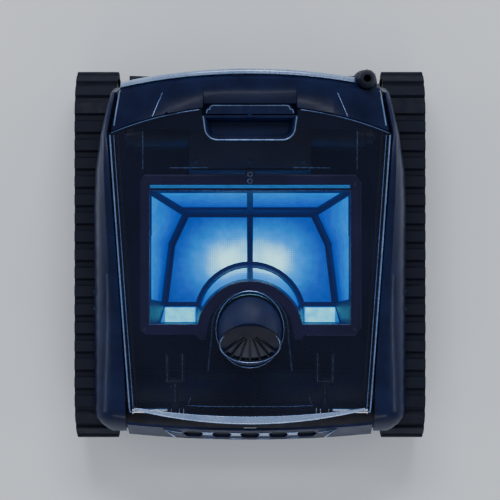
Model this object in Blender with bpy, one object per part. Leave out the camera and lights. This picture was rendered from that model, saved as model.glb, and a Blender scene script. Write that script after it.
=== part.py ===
"""A tracked robotic pool cleaner at its real size, as an assembly of separate named pieces.

The frame: +Z is up, the floor is z = 0, and the front edge of the lid faces -Y. The origin is on the floor,
under the middle of the machine. "left" is the -X side and "right" the +X side of the plan view.
Sizes are written in millimetres and become metres where a mesh is made.
"""

import math

import bmesh
import bpy
from mathutils import Matrix, Vector

MM = 0.001

# ---------------------------------------------------------------- driving sizes, in millimetres
LENGTH = 430.0  # over the two tracks, front to rear
WIDTH = 404.0  # over the two tracks, side to side
GAP = 0.3  # between pieces that rest on each other

# tracks and wheels
TRACK_WIDTH = 48.0
BELT_THICKNESS = 4.0
RIB_HEIGHT = 4.0
RIB_PITCH = 21.0
RIB_SHARE = 0.72  # of the pitch, at the foot of a rib
WHEEL_RADIUS = 49.5
BELT_CLEARANCE = 0.5
WHEEL_SEGMENTS = 28
AXLE_RADIUS = 6.0
AXLE_HEAD_RADIUS = 11.0
RUNNING_CLEARANCE = 0.4
ROLLER_RADIUS = 16.0
ROLLER_STUB_RADIUS = 5.0

# gears: one ring gear in each wheel, eight-tooth pinions on the brushes and the drive motors
GEAR_MODULE = 2.375
RING_TEETH = 32
PINION_TEETH = 8
GEAR_FACE = 12.0
BRUSH_ANGLE = 45.0  # below the horizontal, outwards from the wheel's centre
MOTOR_ANGLE = 45.0  # above the horizontal, inwards from the rear wheel's centre

# brushes
BRUSH_RADIUS = 35.0
BRUSH_CORE_RADIUS = 16.0
BRUSH_SHAFT_RADIUS = 5.0
BRUSH_TWIST = 45.0
HOOD_CLEARANCE = 2.5

# chassis
SHELL = 3.0
TRACK_TO_PLATE = 4.0
PLATE_THICKNESS = 4.0
PLATE_TOP = 128.0
PLATE_BOTTOM = 12.0
FLOOR_BOTTOM = 14.0

# lid
LID_THICKNESS = 3.0
LIP_Z = 150.0  # height of the lid's front edge
LID_RISE = 65.0  # from its front edge to the seam behind it
LID_CROWN = 13.0  # fall from the middle to the sides
LIP_INSET = 22.5  # from the front of the tracks
LIP_SAG = 15.5
LIP_HEIGHT = 4.0
LIP_DEPTH = 9.0
LIP_END_DEPTH = 3.0
LIP_HALF_INSET = 7.0  # from the lid's front half width
SEAM_INSET = 51.0  # from the rear of the tracks
SEAM_SAG = 29.0
HINGE_INSET = 37.0
HINGE_Z = 137.0
NOSE_SLOPE = 0.371  # how far back it leans for each millimetre up
NOSE_FRONT_Z = 97.0
HINGE_PIN_RADIUS = 3.0
HINGE_X = 85.0
ARM_THICKNESS = 8.0
ARM_REACH = 36.0
PRONG_HALF = 11.0
PRONG_WIDTH = 4.0
PRONG_REACH = 67.0
HINGE_PIN_PAST_LIP = 3.0
CHEEK_THICKNESS = 4.0
CHEEK_CLEARANCE = 1.0

# rear cover, handle, latch
REAR_INSET = 10.5
REAR_SAG = 13.5
DECK_TOP = 180.0
HAND_HOLE_HALF = 91.0
HAND_HOLE_TOP = 211.0
HANDLE_BULGE = 18.0
TRIM_DEPTH = 6.0
TRIM_HEIGHT = 18.0
CUP_HALF = 52.0
CUP_LENGTH = 27.0
CUP_FRONT_FROM_SEAM = 37.0
CUP_DEPTH = 15.0
LATCH_HALF = 49.0
LATCH_LENGTH = 10.5
LATCH_HEIGHT = 12.5
SPRING_RADIUS = 4.5
SPRING_WIRE = 0.8
SPRING_TURNS = 4
GLAND_RADIUS = 10.2
GLAND_BORE = 4.0
GLAND_TOP = 228.0
GLAND_X_INSET = 21.3  # from the side plate's outer face
GLAND_Y_INSET = 21.4

# canister
CANISTER_SIDE_ROOM = 21.0  # rim to side plate
CANISTER_REAR = 89.5
CANISTER_FRONT = -90.5
RIM_BAND = 11.0
RIM_REAR_BAND = 17.0
RIM_BOTTOM = 150.0
RIM_THICKNESS = 6.7
TUB_FLOOR = 72.0
TUB_WALL = 2.5
MESH_THICKNESS = 0.8
ARCH_ROOM = 21.5  # from the pump duct's wall
ARCH_STEPS = 12  # in a quarter of the arch
ARCH_BAND = 12.0
ARCH_Y = -90.0
FLOOR_ARCH_Y = -74.0
ROD_RADIUS = 2.0

# water path
PUMP_Y = -84.0
PUMP_MOTOR_RADIUS = 24.0
PUMP_MOTOR_TOP = 92.0
DUCT_RADIUS = 35.5
DUCT_WALL = 3.0
DUCT_BOTTOM = 95.0
IMPELLER_TIP_CLEARANCE = 2.0
INLET_SIDE_ROOM = 27.0  # to the outside of the canister's rim
INLET_REAR = -63.5
INLET_LENGTH = 14.5
FLAP_LAP = 1.2
HOOD_WIDE = 37.0
HOOD_LONG = 42.0
HOOD_HIGH = 25.0
HOOD_SINK = 6.5  # of the hood's centre below the lid's surface
GRILLE_HALF = 35.5
GRILLE_BARS = 8

# ---------------------------------------------------------------- places worked out from them
FRONT = -LENGTH / 2
REAR = LENGTH / 2
TRACK_OUT = WIDTH / 2
TRACK_IN = TRACK_OUT - TRACK_WIDTH
PLATE_OUT = TRACK_IN - TRACK_TO_PLATE
PLATE_IN = PLATE_OUT - PLATE_THICKNESS
BELT_INSIDE = WHEEL_RADIUS + BELT_CLEARANCE
BELT_OUTSIDE = BELT_INSIDE + BELT_THICKNESS
TRACK_RADIUS = BELT_OUTSIDE + RIB_HEIGHT
AXLE_Y = LENGTH / 2 - TRACK_RADIUS
AXLE_Z = TRACK_RADIUS
WHEEL_IN = TRACK_IN + 2.5
WHEEL_OUT = TRACK_OUT - 3.5
PINION_PITCH = GEAR_MODULE * PINION_TEETH / 2
RING_PITCH = GEAR_MODULE * RING_TEETH / 2
GEAR_DISTANCE = RING_PITCH - PINION_PITCH
BRUSH_Y = AXLE_Y + GEAR_DISTANCE * math.cos(math.radians(BRUSH_ANGLE))
BRUSH_Z = AXLE_Z - GEAR_DISTANCE * math.sin(math.radians(BRUSH_ANGLE))
MOTOR_Y = AXLE_Y - GEAR_DISTANCE * math.cos(math.radians(MOTOR_ANGLE))
MOTOR_Z = AXLE_Z + GEAR_DISTANCE * math.sin(math.radians(MOTOR_ANGLE))
GEAR_IN = WHEEL_IN + 0.5
GEAR_OUT = WHEEL_IN + GEAR_FACE - 1.5
FLOOR_TOP = FLOOR_BOTTOM + SHELL
HOOD_MIDDLE = BRUSH_RADIUS + HOOD_CLEARANCE + SHELL / 2
LID_REAR_HALF = PLATE_OUT + 7.0
LID_FRONT_HALF = PLATE_OUT - 12.0
LIP_HALF = LID_FRONT_HALF - LIP_HALF_INSET
HINGE_PIN_END = LIP_HALF + HINGE_PIN_PAST_LIP
LIP_Y = FRONT + LIP_INSET
SEAM_Y = REAR - SEAM_INSET
HINGE_Y = FRONT + HINGE_INSET
LID_SIDE_REAR_Y = SEAM_Y - SEAM_SAG
HANDLE_HALF = LID_REAR_HALF - 2.0
REAR_CORNER_HALF = HANDLE_HALF - 11.0
DECK_BOTTOM = DECK_TOP - SHELL
CANISTER_HALF = PLATE_IN - CANISTER_SIDE_ROOM
HINGE_POST_HALF = ARM_THICKNESS / 2 + CHEEK_CLEARANCE + CHEEK_THICKNESS
DUCT_OUT = DUCT_RADIUS + DUCT_WALL
GLAND_X = PLATE_OUT - GLAND_X_INSET
GLAND_Y = REAR - GLAND_Y_INSET
ARCH_RADIUS = DUCT_OUT + ARCH_ROOM
FLOOR_ARCH_RADIUS = ARCH_RADIUS + 2.6
INLET_INNER_X = FLOOR_ARCH_RADIUS + 3.4
INLET_OUTER_X = CANISTER_HALF - INLET_SIDE_ROOM
INLET_FRONT = INLET_REAR - INLET_LENGTH
MESH_BOTTOM = TUB_FLOOR - TUB_WALL - GAP - MESH_THICKNESS
CUP_FRONT = SEAM_Y - CUP_FRONT_FROM_SEAM
LATCH_FRONT = CUP_FRONT + CUP_LENGTH + 1.5
HANDLE_FRONT_MIDDLE = LATCH_FRONT + LATCH_LENGTH + 1.0

# ---------------------------------------------------------------- scene and materials
for old in list(bpy.data.objects):
    bpy.data.objects.remove(old)


def finish_of(name, colour, roughness, metallic=0.0, alpha=1.0):
    made = bpy.data.materials.new(name)
    made.use_nodes = True
    shader = made.node_tree.nodes["Principled BSDF"]
    shader.inputs["Base Color"].default_value = (*colour, 1.0)
    shader.inputs["Roughness"].default_value = roughness
    shader.inputs["Metallic"].default_value = metallic
    shader.inputs["Alpha"].default_value = alpha
    return made


NAVY = finish_of("navy_shell", (0.020, 0.024, 0.060), 0.32)
BLACK = finish_of("black_plastic", (0.012, 0.013, 0.020), 0.45)
RUBBER = finish_of("track_rubber", (0.010, 0.014, 0.018), 0.75)
SMOKED = finish_of("smoked_lid", (0.020, 0.026, 0.080), 0.08, alpha=0.45)
PALE = finish_of("pale_trim", (0.55, 0.66, 0.80), 0.28, 0.6)
PLUM = finish_of("canister_plastic", (0.030, 0.022, 0.070), 0.4)
FILTER = finish_of("filter_mesh", (0.05, 0.32, 0.80), 0.5)
STEEL = finish_of("steel", (0.62, 0.64, 0.66), 0.3, 1.0)
CASE = finish_of("sealed_case", (0.05, 0.055, 0.07), 0.5)
FLAP = finish_of("flap_silicone", (0.25, 0.75, 0.80), 0.5)
BRUSH = finish_of("brush_rubber", (0.05, 0.06, 0.08), 0.7)
GEAR = finish_of("gear_nylon", (0.20, 0.22, 0.26), 0.5)
BOARD = finish_of("circuit_board", (0.02, 0.14, 0.07), 0.5)
LAMP = finish_of("lamp_lens", (0.55, 0.90, 1.0), 0.3)
MOTOR = finish_of("motor_can", (0.09, 0.10, 0.11), 0.45, 0.6)


# ---------------------------------------------------------------- builders
def pivot(name, x, y, z):
    """An empty on a joint's axis. Moving pieces hang from it."""
    made = bpy.data.objects.new(name, None)
    bpy.context.scene.collection.objects.link(made)
    made.location = Vector((x, y, z)) * MM
    return made


def place(name, points, faces, finish, on=None):
    """One object from points in millimetres. Its origin is the pivot that it hangs from."""
    origin = on.location.copy() if on else Vector((0, 0, 0))
    shape = bmesh.new()
    corners = [shape.verts.new(Vector(p) * MM - origin) for p in points]
    for face in faces:
        shape.faces.new([corners[i] for i in face])
    bmesh.ops.recalc_face_normals(shape, faces=shape.faces)
    mesh = bpy.data.meshes.new(name)
    shape.to_mesh(mesh)
    shape.free()
    mesh.materials.append(finish)
    mesh.shade_smooth()
    mesh.set_sharp_from_angle(angle=math.radians(35))
    made = bpy.data.objects.new(name, mesh)
    bpy.context.scene.collection.objects.link(made)
    made.parent = on
    return made


def in_space(axis, along, u, v):
    """A point at `along` on the axis, with u and v on the other two axes in X, Y, Z order."""
    return {"X": (along, u, v), "Y": (u, along, v), "Z": (u, v, along)}[axis]


def fill(loops):
    """Triangles over a flat outline with holes, as indices into the loops' points joined end to end."""
    flat = bmesh.new()
    edges = []
    for loop in loops:
        corners = [flat.verts.new((u, v, 0)) for u, v in loop]
        edges += [flat.edges.new(pair) for pair in zip(corners, corners[1:] + corners[:1])]
    flat.verts.index_update()
    made = bmesh.ops.triangle_fill(flat, use_beauty=True, edges=edges)["geom"]
    faces = [[v.index for v in f.verts] for f in made if isinstance(f, bmesh.types.BMFace)]
    flat.free()
    return faces


def between(name, finish, loops, near, far, on=None):
    """A solid between two copies of a flat outline with holes. near and far turn (u, v) into points."""
    loops = [list(loop) for loop in loops]
    flat = [p for loop in loops for p in loop]
    count = len(flat)
    ends = fill(loops)
    faces = ends + [[i + count for i in face] for face in ends]
    start = 0
    for loop in loops:
        for i in range(len(loop)):
            a, b = start + i, start + (i + 1) % len(loop)
            faces.append([a, b, b + count, a + count])
        start += len(loop)
    return place(name, [to(u, v) for to in (near, far) for u, v in flat], faces, finish, on)


def prism(name, finish, axis, low, high, outline, holes=(), on=None):
    """A flat outline, with its holes, drawn out along an axis."""
    ends = [lambda u, v, at=at: in_space(axis, at, u, v) for at in (low, high)]
    return between(name, finish, [outline, *holes], *ends, on)


def loft(name, finish, rings, on=None):
    """A skin over rings of equally many points, closed by a cap at each end."""
    size = len(rings[0])
    points = [p for ring in rings for p in ring]
    faces = [list(range(size)), list(range(len(points) - size, len(points)))]
    for r in range(len(rings) - 1):
        for i in range(size):
            a, b = r * size + i, r * size + (i + 1) % size
            faces.append([a, b, b + size, a + size])
    return place(name, points, faces, finish, on)


def ring_loft(name, finish, rings, on=None):
    """A skin over rings, whose last ring joins the first, as round a tube's wall."""
    size = len(rings[0])
    points = [p for ring in rings for p in ring]
    total = len(points)
    faces = []
    for r in range(len(rings)):
        for i in range(size):
            a, b = r * size + i, r * size + (i + 1) % size
            faces.append([a, b, (b + size) % total, (a + size) % total])
    return place(name, points, faces, finish, on)


def circle(radius, count, u=0.0, v=0.0, start=0.0):
    angles = [start + 2 * math.pi * i / count for i in range(count)]
    return [(u + radius * math.cos(a), v + radius * math.sin(a)) for a in angles]


def lathe(name, finish, axis, profile, centre, count=24, hollow=False, on=None):
    """A profile of (along, radius) turned round an axis through centre. A hollow one is a closed loop."""
    rings = [[in_space(axis, a, *p) for p in circle(max(r, 0.01), count, *centre)] for a, r in profile]
    return (ring_loft if hollow else loft)(name, finish, rings, on)


def stroke(path, thickness):
    """A closed outline of that thickness, laid on both sides of an open path."""
    sides = [[], []]
    for i, (u, v) in enumerate(path):
        before, after = path[max(i - 1, 0)], path[min(i + 1, len(path) - 1)]
        normals = []
        for (u0, v0), (u1, v1) in ((before, (u, v)), ((u, v), after)):
            length = math.hypot(u1 - u0, v1 - v0)
            if length > 0:
                normals.append((-(v1 - v0) / length, (u1 - u0) / length))
        nu, nv = (sum(n[k] for n in normals) / len(normals) for k in (0, 1))
        reach = thickness / 2 / (nu * nu + nv * nv)
        sides[0].append((u + nu * reach, v + nv * reach))
        sides[1].append((u - nu * reach, v - nv * reach))
    return sides[0] + sides[1][::-1]


def grown(outline, distance):
    """A closed outline moved outwards by a distance."""
    count = len(outline)
    pairs = list(zip(outline, outline[1:] + outline[:1]))
    turn = 1.0 if sum(u0 * v1 - u1 * v0 for (u0, v0), (u1, v1) in pairs) > 0 else -1.0
    made = []
    for i in range(count):
        (u0, v0), (u, v), (u1, v1) = outline[i - 1], outline[i], outline[(i + 1) % count]
        first, second = math.hypot(u - u0, v - v0), math.hypot(u1 - u, v1 - v)
        nu = ((v - v0) / first + (v1 - v) / second) / 2 * turn
        nv = (-(u - u0) / first - (u1 - u) / second) / 2 * turn
        reach = distance / (nu * nu + nv * nv)
        made.append((u + nu * reach, v + nv * reach))
    return made


def box(name, low, high, finish=BLACK, on=None):
    (x0, y0, z0), (x1, y1, z1) = low, high
    return prism(name, finish, "Z", z0, z1, [(x0, y0), (x1, y0), (x1, y1), (x0, y1)], on=on)


def work(target, tool, operation):
    """Cuts the tool from the target, or joins it to it. The tool itself isn't part of the object."""
    tool.hide_render = True
    tool.display_type = "WIRE"
    made = target.modifiers.new(tool.name, "BOOLEAN")
    made.operation = operation
    made.object = tool
    return target


def cut(target, *tools):
    for tool in tools:
        work(target, tool, "DIFFERENCE")
    return target


def join(target, *tools):
    for tool in tools:
        work(target, tool, "UNION")
    return target


def toothed(teeth, stations, turn=0.0):
    """A gear-like outline. A tooth is a list of (radius, half width), up one flank and down the other."""
    made = []
    for k in range(teeth):
        middle = turn + 2 * math.pi * k / teeth
        for radius, half in stations:
            angle = middle + math.asin(half / radius)
            made.append((radius * math.cos(angle), radius * math.sin(angle)))
    return made


def flanks(foot, foot_half, tip, tip_half):
    return [(foot, -foot_half), (tip, -tip_half), (tip, tip_half), (foot, foot_half)]


PINION_TOOTH = flanks(
    PINION_PITCH - 1.18 * GEAR_MODULE, 0.88 * GEAR_MODULE,
    PINION_PITCH + 0.76 * GEAR_MODULE, 0.31 * GEAR_MODULE,
)
RING_SPACE = flanks(
    RING_PITCH - 0.63 * GEAR_MODULE, 1.09 * GEAR_MODULE, RING_PITCH + 1.35 * GEAR_MODULE, 0.55 * GEAR_MODULE
)


# ---------------------------------------------------------------- the body's lines
def lid_z(x, y):
    """Height of the lid's outer surface."""
    t = (y - LIP_Y) / (SEAM_Y - LIP_Y)
    return LIP_Z + LID_RISE * (1.35 * t - 0.35 * t * t) - LID_CROWN * (x / LID_REAR_HALF) ** 2


def lid_half(y):
    """Half the lid's width at y."""
    t = (y - HINGE_Y) / (LID_SIDE_REAR_Y - HINGE_Y)
    return LID_FRONT_HALF + (LID_REAR_HALF - LID_FRONT_HALF) * min(max(t, 0.0), 1.0)


def lip_y(x):
    return LIP_Y + LIP_SAG * (x / LIP_HALF) ** 2


def lip_depth(x):
    return LIP_END_DEPTH + (LIP_DEPTH - LIP_END_DEPTH) * max(0.0, 1 - (x / LIP_HALF) ** 2)


def seam_y(x):
    """The seam behind the lid."""
    return SEAM_Y - SEAM_SAG * (abs(x) / LID_REAR_HALF) ** 2.2


def rear_y(x):
    """The rear edge of the handle and its trim, and the handle's slanted ends beyond it."""
    if abs(x) <= REAR_CORNER_HALF:
        return REAR - REAR_INSET - REAR_SAG * (x / REAR_CORNER_HALF) ** 2
    corner = REAR - REAR_INSET - REAR_SAG
    share = (HANDLE_HALF - abs(x)) / (HANDLE_HALF - REAR_CORNER_HALF)
    return LID_SIDE_REAR_Y + (corner - LID_SIDE_REAR_Y) * share


def cover_out(y):
    """The outer edge of a side cover."""
    full = PLATE_OUT + 27.0
    front_bend, rear_bend = HINGE_Y, REAR - 141.0
    if y < front_bend:
        return full - 19.0 * ((front_bend - y) / 25.0) ** 2
    if y > rear_bend:
        return full - 24.0 * ((y - rear_bend) / 123.0) ** 1.5
    return full


def mirrored(stations):
    return sorted({s * x for x in stations for s in (-1, 1)})


# ---------------------------------------------------------------- tracks, wheels, gears
def stadium(radius, arc_steps):
    """A track's closed line round its two wheels, in Y and Z."""
    made = []
    for side in (1, -1):
        for i in range(arc_steps + 1):
            angle = math.pi * i / arc_steps - math.pi / 2
            reach = AXLE_Y + radius * math.cos(angle)
            made.append((side * reach, AXLE_Z + side * radius * math.sin(angle)))
    return made


def on_track(distance, radius):
    """The point at a distance along a track's line, from the middle of its bottom run."""
    straight, arc = 2 * AXLE_Y, math.pi * BELT_OUTSIDE
    s = (distance + straight / 2) % (2 * straight + 2 * arc)
    if s < straight:
        return (s - AXLE_Y, AXLE_Z - radius)
    s -= straight
    if s < arc:
        angle = -math.pi / 2 + s / BELT_OUTSIDE
        return (AXLE_Y + radius * math.cos(angle), AXLE_Z + radius * math.sin(angle))
    s -= arc
    if s < straight:
        return (AXLE_Y - s, AXLE_Z + radius)
    s -= straight
    angle = math.pi / 2 + s / BELT_OUTSIDE
    return (-AXLE_Y + radius * math.cos(angle), AXLE_Z + radius * math.sin(angle))


def ribbed_outline():
    """The outer line of a track: a rib at each pitch, one of them in the middle of the bottom run."""
    around = 4 * AXLE_Y + 2 * math.pi * BELT_OUTSIDE
    count = round(around / RIB_PITCH)
    pitch = around / count
    made = []
    for k in range(count):
        foot, top = RIB_SHARE * pitch / 2, (RIB_SHARE - 0.16) * pitch / 2
        steps = ((-foot, BELT_OUTSIDE), (-top, TRACK_RADIUS), (top, TRACK_RADIUS), (foot, BELT_OUTSIDE))
        made += [on_track(k * pitch + step, radius) for step, radius in steps]
    return made


def build_running_gear(side, word):
    ends = sorted((side * TRACK_IN, side * TRACK_OUT))
    inside = stadium(BELT_INSIDE, WHEEL_SEGMENTS // 2)
    prism(f"{word}_track", RUBBER, "X", *ends, ribbed_outline(), [inside])

    web_in, web_out = WHEEL_IN + GEAR_FACE, WHEEL_IN + GEAR_FACE + 5.0
    for end, end_word in ((1, "rear"), (-1, "front")):
        centre = (end * AXLE_Y, AXLE_Z)
        bore = AXLE_RADIUS + RUNNING_CLEARANCE
        turn_on = pivot(f"{end_word}_{word}_wheel_axis", side * TRACK_IN, *centre)
        profile = [
            (WHEEL_IN, bore),
            (WHEEL_IN, WHEEL_RADIUS),
            (WHEEL_OUT, WHEEL_RADIUS),
            (WHEEL_OUT, WHEEL_RADIUS - 5.0),
            (web_out, WHEEL_RADIUS - 7.0),
            (web_out, bore + 8.0),
            (WHEEL_OUT, bore + 6.0),
            (WHEEL_OUT, bore),
        ]
        name = f"{end_word}_{word}_wheel"
        section = [(side * a, r) for a, r in profile]
        wheel = lathe(name, GEAR, "X", section, centre, WHEEL_SEGMENTS, True, turn_on)
        space = [(centre[0] + u, centre[1] + v) for u, v in toothed(RING_TEETH, RING_SPACE)]
        ends = sorted((side * (WHEEL_IN - 3.0), side * web_in))
        cut(wheel, prism(f"cut_{end_word}_{word}_ring", GEAR, "X", *ends, space))

        outer_head = WHEEL_OUT + 0.5
        axle = [
            (PLATE_IN, 0.0),
            (PLATE_IN, AXLE_RADIUS),
            (PLATE_OUT + GAP, AXLE_RADIUS),
            (PLATE_OUT + GAP, AXLE_RADIUS + 3.0),
            (WHEEL_IN - 0.5, AXLE_RADIUS + 3.0),
            (WHEEL_IN - 0.5, AXLE_RADIUS),
            (outer_head, AXLE_RADIUS),
            (outer_head, AXLE_HEAD_RADIUS),
            (outer_head + 2.5, AXLE_HEAD_RADIUS - 1.0),
            (outer_head + 2.5, 0.0),
        ]
        lathe(f"{end_word}_{word}_axle", STEEL, "X", [(side * a, r) for a, r in axle], centre, 12)

    roller_z = AXLE_Z - BELT_INSIDE + ROLLER_RADIUS + 0.7
    roller_on = pivot(f"{word}_roller_axis", side * TRACK_IN, 0.0, roller_z)
    bore = ROLLER_STUB_RADIUS + RUNNING_CLEARANCE
    ring = [(WHEEL_IN + 2, bore), (WHEEL_IN + 2, ROLLER_RADIUS), (WHEEL_OUT, ROLLER_RADIUS), (WHEEL_OUT, bore)]
    lathe(f"{word}_roller", GEAR, "X", [(side * a, r) for a, r in ring], (0.0, roller_z), 20, True, roller_on)

    motor_on = pivot(f"{word}_motor_axis", side * TRACK_IN, MOTOR_Y, MOTOR_Z)
    round_shaft = circle(BRUSH_SHAFT_RADIUS - 0.5, PINION_TEETH * 4, MOTOR_Y, MOTOR_Z)
    teeth = [(MOTOR_Y + u, MOTOR_Z + v) for u, v in toothed(PINION_TEETH, PINION_TOOTH)]
    spans = ((PLATE_IN - 2.0, round_shaft), (GEAR_IN - 0.1, round_shaft), (GEAR_IN, teeth), (GEAR_OUT, teeth))
    loft(f"{word}_motor_pinion", GEAR, [[(side * a, *p) for p in ring] for a, ring in spans], motor_on)


def build_brush(side, word, end, end_word):
    """One half-width brush: journal, finned core, shaft and pinion, in one line along X."""
    centre = (end * BRUSH_Y, BRUSH_Z)
    turn_on = pivot(f"{end_word}_{word}_brush_axis", 0.0, *centre)
    count = PINION_TEETH * 4
    fin = flanks(BRUSH_CORE_RADIUS, 2.2, BRUSH_RADIUS, 1.4)
    body_in, body_out = 8.0, PLATE_IN - 3.0
    journal = circle(BRUSH_SHAFT_RADIUS - 0.5, count)
    shaft = circle(BRUSH_SHAFT_RADIUS, count)
    spans = [(0.6, journal), (body_in - 2.0, journal)]
    steps = 3
    for i in range(steps + 1):
        turn = side * end * math.radians(BRUSH_TWIST) * (1 - i / steps)
        spans.append((body_in + (body_out - body_in) * i / steps, toothed(PINION_TEETH, fin, turn)))
    spans += [
        (body_out + 0.8, shaft),
        (GEAR_IN - 0.1, shaft),
        (GEAR_IN, toothed(PINION_TEETH, PINION_TOOTH)),
        (GEAR_OUT, toothed(PINION_TEETH, PINION_TOOTH)),
    ]
    rings = [[(side * a, centre[0] + u, centre[1] + v) for u, v in ring] for a, ring in spans]
    loft(f"{end_word}_{word}_brush", BRUSH, rings, turn_on)


def build_brush_bearing(end, end_word):
    """The hanger between the two half brushes, with the hole that both journals turn in."""
    y, z = end * BRUSH_Y, BRUSH_Z
    top = z + math.sqrt((HOOD_MIDDLE - SHELL / 2) ** 2 - 81) - GAP - 0.4
    outline = [(y - 9, top), (y - 9, z)]
    outline += [(y - 9 * math.cos(math.pi * i / 6), z - 9 * math.sin(math.pi * i / 6)) for i in range(1, 6)]
    outline += [(y + 9, z), (y + 9, top)]
    hole = circle(BRUSH_SHAFT_RADIUS - 0.5 + RUNNING_CLEARANCE, 16, y, z)
    prism(f"{end_word}_brush_bearing", BLACK, "X", -4.0, 4.0, outline, [hole])


# ---------------------------------------------------------------- chassis
def hinge_post(side, word):
    """A fork for the lid's hinge pin, and a cradle for the pin's outer end, on top of the front hood."""
    foot, top = BRUSH_Z + HOOD_MIDDLE, HINGE_Z + 4.3
    inner, outer = HINGE_POST_HALF - CHEEK_THICKNESS, HINGE_POST_HALF
    shape = [(-outer, foot), (outer, foot), (outer, top), (inner, top), (inner, top - 30)]
    shape += [(-inner, top - 30), (-inner, top), (-outer, top)]
    span = (HINGE_Y - 4.5, HINGE_Y + 4.5)
    fork = [(side * HINGE_X + u, v) for u, v in shape]
    post = prism(f"join_{word}_hinge_post", BLACK, "Y", *span, fork)
    near, far = side * (HINGE_PIN_END - 6), side * (HINGE_PIN_END - 2)
    stand = [(near, foot), (far, foot), (far, HINGE_Z), (near, HINGE_Z)]
    cradle = prism(f"join_{word}_pin_cradle", BLACK, "Y", *span, stand)
    reach = sorted((side * (HINGE_X - outer - 5), side * (HINGE_PIN_END + 5)))
    hole = [(x, HINGE_PIN_RADIUS + GAP) for x in reach]
    return (post, cradle), lathe(f"cut_{word}_hinge_bore", BLACK, "X", hole, (HINGE_Y, HINGE_Z), 12)


def hood_arc(end, first, last, steps):
    made = []
    for i in range(steps + 1):
        angle = math.radians(first + (last - first) * i / steps)
        y, z = BRUSH_Y - HOOD_MIDDLE * math.cos(angle), BRUSH_Z + HOOD_MIDDLE * math.sin(angle)
        made.append((end * y, z))
    return made


def build_chassis():
    """The floor with a hood over each brush, and the two side plates that carry the axles."""
    meets_floor = -math.degrees(math.asin((BRUSH_Z - FLOOR_BOTTOM - SHELL / 2) / HOOD_MIDDLE))
    path = hood_arc(-1, 130.0, meets_floor, 10) + hood_arc(1, meets_floor, 112.0, 9)
    edge = PLATE_IN - GAP
    floor = prism("chassis_floor", BLACK, "X", -edge, edge, stroke(path, SHELL))
    for side, word in ((-1, "left"), (1, "right")):
        x0, x1 = sorted((side * INLET_INNER_X, side * INLET_OUTER_X))
        low, high = (x0, INLET_FRONT, FLOOR_BOTTOM - 5), (x1, INLET_REAR, FLOOR_TOP + 5)
        cut(floor, box(f"cut_{word}_floor_inlet", low, high))
        posts, bore = hinge_post(side, word)
        join(floor, *posts)
        cut(floor, bore)

        end_y = BRUSH_Y + 21.0
        outline = [
            (-end_y, 26.0),
            (-end_y + 12, 17.0),
            (-AXLE_Y + 20, PLATE_BOTTOM),
            (AXLE_Y - 20, PLATE_BOTTOM),
            (end_y - 12, 17.0),
            (end_y, 26.0),
            (end_y, PLATE_TOP - 30),
            (end_y - 10, PLATE_TOP),
            (-end_y + 10, PLATE_TOP),
            (-end_y, PLATE_TOP - 30),
        ]
        holes = [circle(BRUSH_SHAFT_RADIUS - 0.5 + RUNNING_CLEARANCE, 16, MOTOR_Y, MOTOR_Z)]
        for end in (-1, 1):
            holes.append(circle(AXLE_RADIUS + GAP, 16, end * AXLE_Y, AXLE_Z))
            holes.append(circle(BRUSH_SHAFT_RADIUS + RUNNING_CLEARANCE, 16, end * BRUSH_Y, BRUSH_Z))
        ends = sorted((side * PLATE_IN, side * PLATE_OUT))
        plate = prism(f"{word}_side_plate", BLACK, "X", *ends, outline, holes)
        roller_z = AXLE_Z - BELT_INSIDE + ROLLER_RADIUS + 0.7
        stub = [(PLATE_OUT - 1, 0.0), (PLATE_OUT - 1, 9.0), (WHEEL_IN, 7.0), (WHEEL_IN, ROLLER_STUB_RADIUS)]
        stub += [(WHEEL_OUT, ROLLER_STUB_RADIUS), (WHEEL_OUT, 0.0)]
        stub = [(side * a, r) for a, r in stub]
        join(plate, lathe(f"join_{word}_stub", BLACK, "X", stub, (0.0, roller_z), 16))


def build_motor_block():
    """The sealed box at the rear with its cover, its board, and a geared motor at each side."""
    half = 70.0
    low = FLOOR_TOP + GAP
    step_y = BRUSH_Y - HOOD_MIDDLE - SHELL / 2 - 2.0
    front, back, top = step_y - 40.5, step_y + 21.5, 118.0
    profile = [(front, low), (step_y, low), (step_y, 50.0), (back, 82.0)]
    profile += [(back, top), (front + 6, top), (front, top - 6)]
    case = prism("motor_block_case", CASE, "X", -half, half, profile)
    hollow = grown(profile, -SHELL)
    hollow = [(y, z + 2 * SHELL) if z > top - 12 else (y, z) for y, z in hollow]
    cut(case, prism("cut_motor_block", CASE, "X", -half + SHELL, half - SHELL, hollow))
    box("motor_block_cover", (-half, front + 6, top + GAP), (half, back, top + 5.0), CASE)
    box("control_board", (-55.0, front + 19, low + 6), (55.0, front + 21, top - 9), BOARD)
    for side, word in ((-1, "left"), (1, "right")):
        body = [(half + GAP, 0.0), (half + GAP, 15.5), (PLATE_IN - 12, 15.5), (PLATE_IN - 12, 11.0)]
        body += [(PLATE_IN - 2.5, 11.0), (PLATE_IN - 2.5, 0.0)]
        lathe(f"{word}_drive_motor", MOTOR, "X", [(side * a, r) for a, r in body], (MOTOR_Y, MOTOR_Z), 20)


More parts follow.
